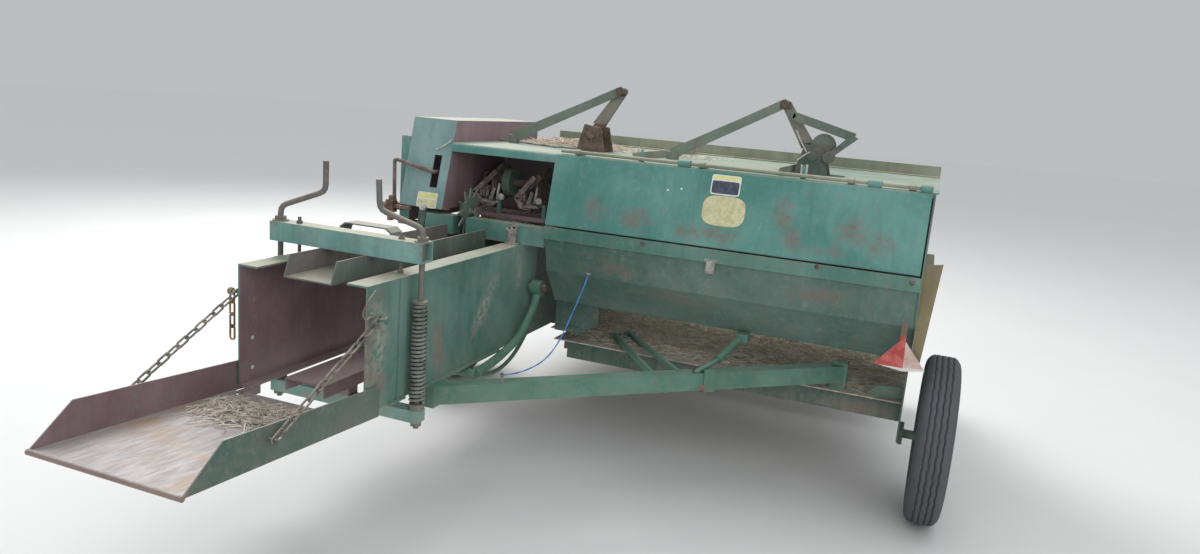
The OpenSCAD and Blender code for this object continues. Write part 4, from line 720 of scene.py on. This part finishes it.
def addTyre(name, node, body, middle):
    r, h = tyre["radius"], tyre["half"]
    # profile from one bead over the tread to the other: side position, radius, groove depth share
    crown = [(-h * 0.60, r - 0.0015, 0)]
    for g in tyre["grooves"]:
        w = tyre["grooveHalf"]
        crown += [(g - w, r, 0), (g - w * 0.7, r - tyre["groove"], 1), (g + w * 0.7, r - tyre["groove"], 1), (g + w, r, 0)]
    crown += [(h * 0.60, r - 0.0015, 0)]
    left = [(-h * 0.72, tyre["rim"], 0), (-h * 0.80, tyre["rim"] + 0.006, 0), (-h * 0.86, tyre["rim"] + 0.018, 0), (-h * 0.90, tyre["rim"] + 0.020, 0),
            (-h * 0.965, r - 0.078, 0), (-h, r - 0.060, 0), (-h * 0.99, r - 0.045, 0), (-h * 0.955, r - 0.030, 0), (-h * 0.91, r - 0.024, 0),
            (-h * 0.905, r - 0.021, 1), (-h * 0.87, r - 0.018, 0), (-h * 0.76, r - 0.008, 0), (-h * 0.70, r - 0.005, 0)]
    profile = np.array(left + crown + [(-x, z, m) for x, z, m in reversed(left)])
    a = np.arange(tyre["around"]) * 2 * np.pi / tyre["around"]
    swing = 2 * np.abs((a * tyre["zigs"] / np.pi) % 2 - 1) - 1
    onTread = (np.abs(profile[:, 0]) < 0.036) & (profile[:, 1] > r - 0.006)
    x = profile[None, :, 0] + tyre["zigzag"] * swing[:, None] * onTread[None]
    radius = profile[None, :, 1] - 0.0022 * ((np.abs(profile[None, :, 0]) > 0.034) & (profile[None, :, 1] > r - 0.02)) * (((a * 60 / (2 * np.pi)) % 1 < 0.25)[:, None])
    points = np.stack([x, radius * np.sin(a)[:, None], radius * np.cos(a)[:, None]], -1) + middle
    shape = Shape()
    # the groove marks tell the rubber finish where to paint shade into the grooves
    marks = np.broadcast_to(profile[None, :, 2], x.shape)
    shape.add(points, gridQuads(tyre["around"], len(profile), True, True)[:, ::-1], mark=marks)
    obj = shape.build(name, "rubber", body, markName="groove")
    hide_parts(node)


addTyre("tyreTreadRight", "tyre_right", "wheel_right", at(1902, 1272, 320))
addTyre("tyreTreadLeft", "tyre_left", "wheel_left", at(-440, 1760, 320))
print("tyres made")


# Blank plates

def addPlate(name, material, body, middle, along, upward, size, rounding=6.0, thick=0.0012):
    # rings from the middle to the rim of a rounded rectangle, then down its edge
    along, upward = unit(along), unit(upward)
    out = np.cross(along, upward)
    a = np.arange(48) * 2 * np.pi / 48
    scale = (np.abs(np.cos(a)) ** rounding + np.abs(np.sin(a)) ** rounding) ** (-1 / rounding)
    share = np.array([0.01, 0.5, 0.97, 1.0, 1.0])[:, None]
    lift = np.array([thick, thick, thick, thick * 0.6, 0.0])[:, None]
    u = share * scale * np.cos(a) * size[0] / 2
    v = share * scale * np.sin(a) * size[1] / 2
    points = np.asarray(middle) + u[..., None] * along + v[..., None] * upward + (lift * np.ones(48))[..., None] * out
    shape = Shape()
    shape.add(points, gridQuads(5, 48)[:, ::-1])
    return shape.build(name, material, body, smooth=False)


plates = {
    # each: body, middle on the sheet, size, how square its corners are, and its layers as (material, shares of width and
    # height, shift upward in heights, thickness)
    "doorPlateUpper": ("hood_door", "door", (1046, 1204), (112, 76), 16,
                       [("labelRim", 1, 1, 0, 1.0), ("labelYellow", 0.93, 0.2, 0.36, 1.4), ("labelDark", 0.93, 0.64, -0.12, 1.4)]),
    "doorPlateLower": ("hood_door", "door", (1052, 1109), (163, 114), 3.4, [("labelCream", 1, 1, 0, 1.0)]),
    "shieldPlate": ("chassis", "shield", (-219, 1006), (97, 66), 16,
                    [("labelRim", 1, 1, 0, 1.0), ("labelYellow", 0.93, 0.34, 0.29, 1.4), ("labelCream", 0.93, 0.5, -0.19, 1.4)])}
sheets = {"door": (972, 1032, 62 / 272), "shield": (1252, 1104, 0.257)}


def onSheet(name, x, z, lift=0.0):
    # a place on a leaning sheet: its height, its y there, and how far it goes back for each unit up
    height, back, lean = sheets[name]
    upward = unit((0, lean, 1))
    return at(x, back + (z - height) * lean, z) + lift / 1000 * np.cross((1, 0, 0), upward), upward


def addPlates():
    for name, (body, sheet, (x, z), (wide, high), rounding, layers) in plates.items():
        for k, (material, shareWide, shareHigh, shift, thick) in enumerate(layers):
            middle, upward = onSheet(sheet, x, z, 0.3)
            size = (wide * shareWide / 1000, high * shareHigh / 1000)
            obj = addPlate(f"{name}{k}", material, body, middle + upward * shift * high / 1000, (1, 0, 0), upward, size,
                           rounding, thick / 1000)


def addMarks():
    # two bare fixing holes' rims on the left wall's inner face, and two flecks of white paint on the door
    for k, z in enumerate((623, 521)):
        obj = addPlate(f"wallRim{k}", "labelRim", "chassis", at(-240.7, 56, z), (0, 1, 0), (0, 0, 1), (0.013, 0.013), 2.0, 0.0006)
    for k, (x, z) in enumerate(((826, 1163), (878, 1173))):
        middle, upward = onSheet("door", x, z, 0.3)
        obj = addPlate(f"paintFleck{k}", "labelRim", "hood_door", middle, (1, 0, 0), upward, (0.010, 0.007), 2.0, 0.0004)


addPlates()
addMarks()
print("plates placed")


# Stop flange inside the hood's opening, which the door rests near: along the foot and up the right side

doorStop = {"left": 380, "right": 1774.5, "wide": 34, "low": 966, "high": 1236, "inside": 29, "thick": 3}


def slab(shape, low, high, slide=(0, 0, 0)):
    # a block between two corners in millimetres, its upper side slid by the given offset
    corner = np.array([(x, y, z) for z in (0, 1) for y in (0, 1) for x in (0, 1)])
    points = np.array(low) + corner * (np.array(high) - np.array(low)) + corner[:, 2:] * np.array(slide)
    faces = [(0, 2, 3, 1), (4, 5, 7, 6), (0, 1, 5, 4), (2, 6, 7, 3), (0, 4, 6, 2), (1, 3, 7, 5)]
    shape.add(points / 1000 - caseOrigin, faces)


def addDoorStop():
    foot = 1032 + doorStop["inside"]
    rise = doorStop["high"] - doorStop["low"]
    shape = Shape()
    slab(shape, (doorStop["right"] - doorStop["wide"], foot, doorStop["low"]), (doorStop["right"], foot + doorStop["thick"], doorStop["high"]),
         (0, rise * 62 / 272, 0))
    slab(shape, (doorStop["left"], foot - 1, 924), (doorStop["right"], foot + doorStop["thick"] - 1, doorStop["low"] + 22))
    obj = shape.build("doorStop", "framePaint", "chassis", smooth=False)


addDoorStop()
print("door stop set")


# Dark sheets in the rubber finish under the hood's two slots, which the packer arms come up through: painted shade,
# standing for the shadow beneath the slots

slotShadeSheets = {"low": 1249.2, "high": 1252.3, "front": 1572, "back": 1428, "ends": [(138, 412), (1158, 1442)]}


def addSlotShadeSheets():
    shape = Shape()
    for left, right in slotShadeSheets["ends"]:
        slab(shape, (left, slotShadeSheets["back"], slotShadeSheets["low"]), (right, slotShadeSheets["front"], slotShadeSheets["high"]))
    # painted shade: dark sheets that stand for the shadow seen through the slots
    obj = shape.build("slotShadeSheets", "rubber", "chassis", smooth=False)


addSlotShadeSheets()
print("slot sheets set")


# Bolts and nuts

bolts = {
    # each: body, material, slot, axis, radius across corners, height of head, and the places of the seats
    "railBolts": ("chassis", "darkIron", "rusty_iron", (0, -1, 0), 6.5, 5, [(763, 1022, 951), (1422, 1022, 957), (1747, 1022, 947)]),
    "knuckleBolts": ("chassis", "darkIron", "rusty_iron", (1, 0, 0), 17, 11, [(314, 1120, 690)]),
    "bracketBolts": ("chassis", "rustyIron", "rusty_iron", (0, -1, 0), 13, 9, [(1049, 928, 518), (1075, 928, 462)]),
    "wheelNutsRight": ("wheel_right", "darkIron", "rusty_iron", (1, 0, 0), 12, 13, None),
    "wheelNutsLeft": ("wheel_left", "darkIron", "rusty_iron", (-1, 0, 0), 12, 13, None)}
wheelNuts = {"count": 5, "circle": 72, "out": 14, "wheel_right": (1902, 1272, 320), "wheel_left": (-440, 1760, 320)}


def addBolts():
    # a six-sided head with a chamfered rim, on a round washer
    for name, (body, material, slot, axis, radius, height, places) in bolts.items():
        if places is None:
            middle = np.array(wheelNuts[body], float)
            a = np.arange(wheelNuts["count"]) * 2 * np.pi / wheelNuts["count"] + 0.4
            around = np.stack([np.zeros_like(a), np.cos(a), np.sin(a)], -1) * wheelNuts["circle"]
            places = middle + around + np.array(axis) * wheelNuts["out"]
        places = np.array([at(*p) for p in places])
        r, h = radius / 1000, height / 1000
        shape = Shape()
        turned(shape, [(0.0001, h), (0.8 * r, h), (r, 0.86 * h), (r, 0)], places, [axis] * len(places), 6)
        turned(shape, [(0.5 * r, 0.0022), (1.32 * r, 0.0022), (1.36 * r, 0.0008), (1.36 * r, -0.0004)], places, [axis] * len(places), 20)
        obj = shape.build(name, material, body, smooth=False)


addBolts()
print("bolts set")


# Straw and litter that the work has left on the machine

litter = {
    # each: body, material, count, low corner, high corner, longest stem, how steeply they lie, and a heap's height in the middle
    "chuteStraw": ("chute", "chuteHay", 440, (-215, -262, 0), (120, -62, 0), 85, 0.12, 14),
    "chuteStems": ("chute", "oldStraw", 110, (-226, -330, 0), (120, -62, 0), 90, 0.05, 4),
    "hoodStraw": ("chassis", "hayFluff", 420, (-95, 1550, 1257), (450, 1875, 1257), 85, 0.18, 34),
    "hoodStems": ("chassis", "oldStraw", 260, (-100, 1540, 1257), (900, 1900, 1257), 80, 0.06, 6),
    "floorStraw": ("chassis", "oldStraw", 2900, (262, 1260, 452), (1765, 2120, 452), 120, 0.14, 16),
    "floorStems": ("chassis", "straw", 500, (262, 1260, 454), (1765, 2120, 454), 130, 0.12, 18),
    "troughStraw": ("chassis", "darkStraw", 420, (-84, 420, 858), (84, 990, 858), 70, 0.12, 16),
    "deckStraw": ("chassis", "oldStraw", 380, (-228, 1180, 900), (228, 1540, 900), 80, 0.14, 16)}


# where the needles and their arms sweep, and the floor's open corner beside the case: low and high corners
keepClear = [((240, 900, 400), (345, 1410, 1000)), ((80, 1405, 850), (150, 1520, 1200)), ((-150, 1405, 850), (-80, 1520, 1200))]


def addLitter():
    # each stem is a bent three-sided rod of four rings, thrown at random, and higher towards the middle of its heap
    for name, (body, material, count, low, high, longest, steep, heap) in litter.items():
        low, high = np.array(low, float), np.array(high, float)
        share = rng.beta(1.6, 1.6, (count, 2))
        middle = low[:2] + share * (high - low)[:2]
        pile = heap * np.exp(-6 * ((share - 0.5) ** 2).sum(1)) * rng.random(count)
        ground = np.full(count, low[2])
        if name.startswith("chute"):
            ground = chuteFloor["z"] + chuteFloor["lean"] * (chuteFloor["y"] - middle[:, 1])
        turn = rng.random(count) * 2 * np.pi
        rise = rng.normal(0, steep, count)
        size = longest * (0.35 + 0.65 * rng.random(count))
        run = np.linspace(-0.5, 0.5, 4)[None, :] * size[:, None]
        bend = rng.normal(0, 0.07, count)[:, None] * size[:, None] * (1 - (np.linspace(-1, 1, 4) ** 2)[None])
        x = middle[:, :1] + run * np.cos(turn)[:, None] - bend * np.sin(turn)[:, None]
        y = middle[:, 1:] + run * np.sin(turn)[:, None] + bend * np.cos(turn)[:, None]
        z = ground[:, None] + 2.5 + np.maximum(pile[:, None] + run * rise[:, None] + np.abs(bend) * 0.6, 0)
        x, y = np.clip(x, low[0] - 8, high[0] + 8), np.clip(y, low[1] - 8, high[1] + 8)
        points = np.stack([x, y, z], -1)
        thick = (0.0009 + 0.0009 * rng.random(count))[:, None] * np.ones((1, 4))
        inside = [((points > a) & (points < b)).all(-1).any(1) for a, b in keepClear]
        free = ~np.any(inside, axis=0)
        shape = Shape()
        sweep(shape, points[free] / 1000 - caseOrigin, thick[free], 3)
        obj = shape.build(name, material, body, smooth=False)


chuteFloor = {"y": -15, "z": 460, "lean": math.tan(math.radians(3.2))}
addLitter()
print("litter strewn")


# Bent wires: hooks at the chain's top, the latch chain's ring, and the hand hook on the shield

wires = {
    "chainHooks": ("chassis", "chainIron", "rusty_iron", 3.0, [[(265, 14, 866), (266, -20, 842), (265, -44, 808), (265, -30, 786), (265, -8, 792)],
                                                              [(265, -8, 803), (266, 8, 792), (265, 30, 768), (265, 50, 742), (265, 62, 730)]]),
    "hoodPins": ("chassis", "brightSteel", "worn_steel", 4.0, [
        [(632, 1262, 1258), (632, 1261, 1280), (631, 1260, 1306)], [(650, 1262, 1258), (650, 1261, 1280), (651, 1260, 1300)],
        [(1299, 1208, 1258), (1299, 1207, 1280), (1298, 1206, 1302)], [(1317, 1208, 1258), (1317, 1207, 1280), (1318, 1206, 1304)]]),
    "hoodRod": ("chassis", "paleIron", "rusty_iron", 5.0, [
        [(-270, 1563, 1262), (-150, 1530, 1262), (-60, 1500, 1264), (70, 1465, 1262), (208, 1428, 1262)]]),
    "tieWires": ("chassis", "brightSteel", "worn_steel", 2.6, [
        [(1228, 1436, 1424), (1252, 1432, 1380), (1280, 1428, 1340)], [(1246, 1430, 1306), (1264, 1430, 1324), (1292, 1428, 1344)]]),
    "shieldHook": ("chassis", "brightSteel", "worn_steel", 3.2, [[(-146, 1098, 1268), (-152, 1092, 1256), (-180, 1088, 1236), (-212, 1086, 1217)]])}


def addWires():
    for name, (body, material, slot, radius, lines) in wires.items():
        shape = Shape()
        for line in lines:
            sweep(shape, curveThrough([at(*p) for p in line], 26), radius / 1000, 10)
        obj = shape.build(name, material, body)


addWires()
print("wires bent")


# Brackets: flat bars in planes across the machine, blocks and round knobs

brackets = {
    # each: body, material, slot, bars as (start x and z, end x and z, width, rear y, front y), blocks as two corners,
    # and knobs as (place, axis, radius, height)
    "knotterFrames": ("chassis", "discIron", "rusty_iron", [
        ((-122, 1036), (-36, 1118), 20, 1262, 1272), ((-122, 1040), (-84, 1004), 18, 1262, 1272),
        ((-84, 1008), (-14, 1000), 12, 1262, 1272), ((88, 1032), (172, 1132), 20, 1262, 1272),
        ((88, 1036), (122, 996), 18, 1262, 1272), ((122, 1000), (196, 1004), 12, 1262, 1272)], [], []),
    "forkLink": ("chassis", "linkPaint", "paint", [((1206, 1480), (1454, 1414), 34, 1439, 1447)], [], [
        ((1206, 1439, 1480), (0, 1, 0), 11, 48), ((1338, 1454, 1371), (0, 1, 0), 49, 12)]),
    "caseClamp": ("chassis", "rustyIron", "rusty_iron", [], [
        ((-404, 1008, 938), (-366, 1040, 990)), ((-392, 1006, 902), (-374, 1030, 938)), ((-366, 1012, 958), (-286, 1028, 972))], [
        ((-404, 1024, 964), (-1, 0, 0), 15, 24), ((-385, 1024, 990), (0, 0, 1), 12, 20)]),
    "troughLever": ("chassis", "framePaint", "paint", [((-158, 886), (-146, 1000), 30, 896, 906)], [
        ((-164, 890, 880), (-88, 912, 888))], []),
    "leverKnob": ("chassis", "brightSteel", "worn_steel", [], [], [((-142, 896, 998), (0, -1, 0), 14, 14)]),
    "hingeBracket": ("chassis", "paleIron", "rusty_iron", [
        ((206, 884), (212, 950), 34, 1004, 1012), ((212, 946), (232, 962), 16, 1004, 1012), ((200, 946), (184, 934), 14, 1004, 1012)], [
        ((186, 990, 878.5), (236, 1020, 884))], [((208, 1004, 930), (0, -1, 0), 12, 10)]),
    "feedGuard": ("chassis", "framePaint", "paint", [((446, 506), (532, 560), 26, 1178, 1180)], [
        ((353, 1180, 520), (500, 1184, 640)), ((500, 1180, 556), (546, 1184, 640)), ((353, 1176, 506), (470, 1180, 530))], []),
    "knotterBack": ("chassis", "maroonSheet", "paint", [], [((-236, 1594.5, 880), (332, 1597.5, 1040))], []),
    "hoodKnob": ("chassis", "paleIron", "rusty_iron", [], [], [((-62, 1500, 1258), (0, 0, 1), 17, 20)])}


def addBrackets():
    for name, (body, material, slot, bars, blocks, knobs) in brackets.items():
        shape = Shape()
        for start, stop, wide, rear, front in bars:
            # a flat bar between two places: its ends are square to the line between them
            start, stop = np.array(start, float), np.array(stop, float)
            across = unit(stop - start)[::-1] * (-wide / 2, wide / 2)
            outline = np.array([start - across, stop - across, stop + across, start + across])
            points = np.array([(x, y, z) for y in (rear, front) for x, z in outline])
            shape.add(points / 1000 - caseOrigin, [(0, 1, 2, 3), (7, 6, 5, 4), (0, 4, 5, 1), (1, 5, 6, 2), (2, 6, 7, 3), (3, 7, 4, 0)])
        for low, high in blocks:
            slab(shape, low, high)
        for place, axis, radius, height in knobs:
            profile = np.array([(0.01, 1), (0.7, 1), (0.93, 0.88), (1, 0.7), (1, 0), (0.01, 0)]) * (radius, height) / 1000
            turned(shape, profile, at(*place), axis, 28)
        obj = shape.build(name, material, body, smooth=False)


addBrackets()
print("brackets set")


# Knotter details: twine discs with notched rims, knife arms, bill hooks and their springs

knots = {"places": (0, 185), "discs": ((-60, 1046), (-74, 1046), (-88, 1046)), "discRadius": 27, "notches": 9, "notch": 5, "y": 1288,
         "arm": ((-8, 1086), (-18, 1014)), "hub": (4, 1028, 15), "hook": ((-14, 1006), (-34, 992), (-58, 986), (-84, 990), (-96, 1000)),
         "spring": ((-44, 1012), (-26, 1064)), "coil": 6.5, "turns": 9}


def notchedDisc(shape, middle, radius, thick, count, depth):
    # two rims joined at the middle, with the rim's radius stepping in at each notch
    a = np.arange(count * 8) * 2 * np.pi / (count * 8)
    rim = radius - depth * ((np.arange(len(a)) % 8) < 3)
    profile = [(0.0005, thick / 2), (1.0, thick / 2), (1.0, -thick / 2), (0.0005, -thick / 2)]
    share = np.array([p[0] for p in profile])[:, None]
    x = np.array([p[1] for p in profile])[:, None] * np.ones(len(a))
    points = np.stack([x, share * rim * np.cos(a), share * rim * np.sin(a)], -1) + middle
    shape.add(points, gridQuads(4, len(a)))


def addKnotParts():
    pale, dark = Shape(), Shape()
    for shift in knots["places"]:
        def here(x, z, y=knots["y"]):
            return at(x + shift, y, z)
        for x, z in knots["discs"]:
            notchedDisc(dark, here(x, z), knots["discRadius"] / 1000, 0.006, knots["notches"], knots["notch"] / 1000)
        sweep(pale, [here(*knots["arm"][0]), here(*knots["arm"][1])], 0.0052, 10)
        x, z, r = knots["hub"]
        turned(pale, np.array([(0.1, 9), (r - 2, 9), (r, 7), (r, 0)]) / 1000, here(x, z), (0, -1, 0), 20)
        sweep(pale, curveThrough([here(*p) for p in knots["hook"]], 24), 0.0042, 8)
        foot, head = here(*knots["spring"][0], 1276), here(*knots["spring"][1], 1276)
        t = np.linspace(0, 1, knots["turns"] * 16)[:, None]
        along = unit(head - foot)
        side = unit(np.cross(along, (0, 1, 0)))
        round1, round2 = np.cos(t * 2 * np.pi * knots["turns"]), np.sin(t * 2 * np.pi * knots["turns"])
        sweep(pale, foot + (head - foot) * t + knots["coil"] / 1000 * (side * round1 + np.cross(along, side) * round2), 0.0016, 6, across=along)
    for name, shape, material in (("knotterArms", pale, "brightSteel"), ("knotterDiscs", dark, "discIron")):
        obj = shape.build(name, material, "chassis")


addKnotParts()
print("knotter parts set")


# Floor and light

def addStage():
    shape = Shape()
    side = 40.0
    shape.add([(-side, -side, 0), (side, -side, 0), (side, side, 0), (-side, side, 0)], [(0, 1, 2, 3)])
    floor = shape.build("studioFloor", "paleFloor", smooth=False)
    world = bpy.data.worlds.new("studio")
    world.use_nodes = True
    tree = world.node_tree
    tree.nodes.clear()
    soft = addNode(tree, "Background", {"Color": (0.93, 0.96, 1.0), "Strength": 0.80})
    shown = addNode(tree, "Background", {"Color": (0.500, 0.517, 0.523), "Strength": 1.0})
    path = addNode(tree, "LightPath")
    seen = maths(tree, "MAXIMUM", path.outputs["Is Camera Ray"], path.outputs["Is Glossy Ray"])
    both = addNode(tree, "MixShader", {0: seen, 1: soft.outputs[0], 2: shown.outputs[0]})
    end = tree.nodes.new("ShaderNodeOutputWorld")
    tree.links.new(both.outputs[0], end.inputs[0])
    bpy.context.scene.world = world
    lamps = [("keyLamp", (-4.2, 2.6, 5.6), 3.6, 430), ("fillLamp", (4.0, -6.5, 3.6), 5.0, 120), ("topLamp", (0.5, -1.0, 7.0), 6.0, 110)]
    for name, place, size, power in lamps:
        lamp = bpy.data.lights.new(name, "AREA")
        lamp.size, lamp.energy = size, power
        obj = bpy.data.objects.new(name, lamp)
        bpy.context.collection.objects.link(obj)
        back = unit(np.array(place) - np.array([0.0, -0.6, 0.6]))
        right = unit(np.cross((0, 0, 1), back))
        columns = np.column_stack([right, np.cross(back, right), back, place])
        obj.matrix_world = Matrix([*columns.tolist(), [0, 0, 0, 1]])


addStage()
bpy.context.scene.view_settings.view_transform = "Standard"
print("stage set")
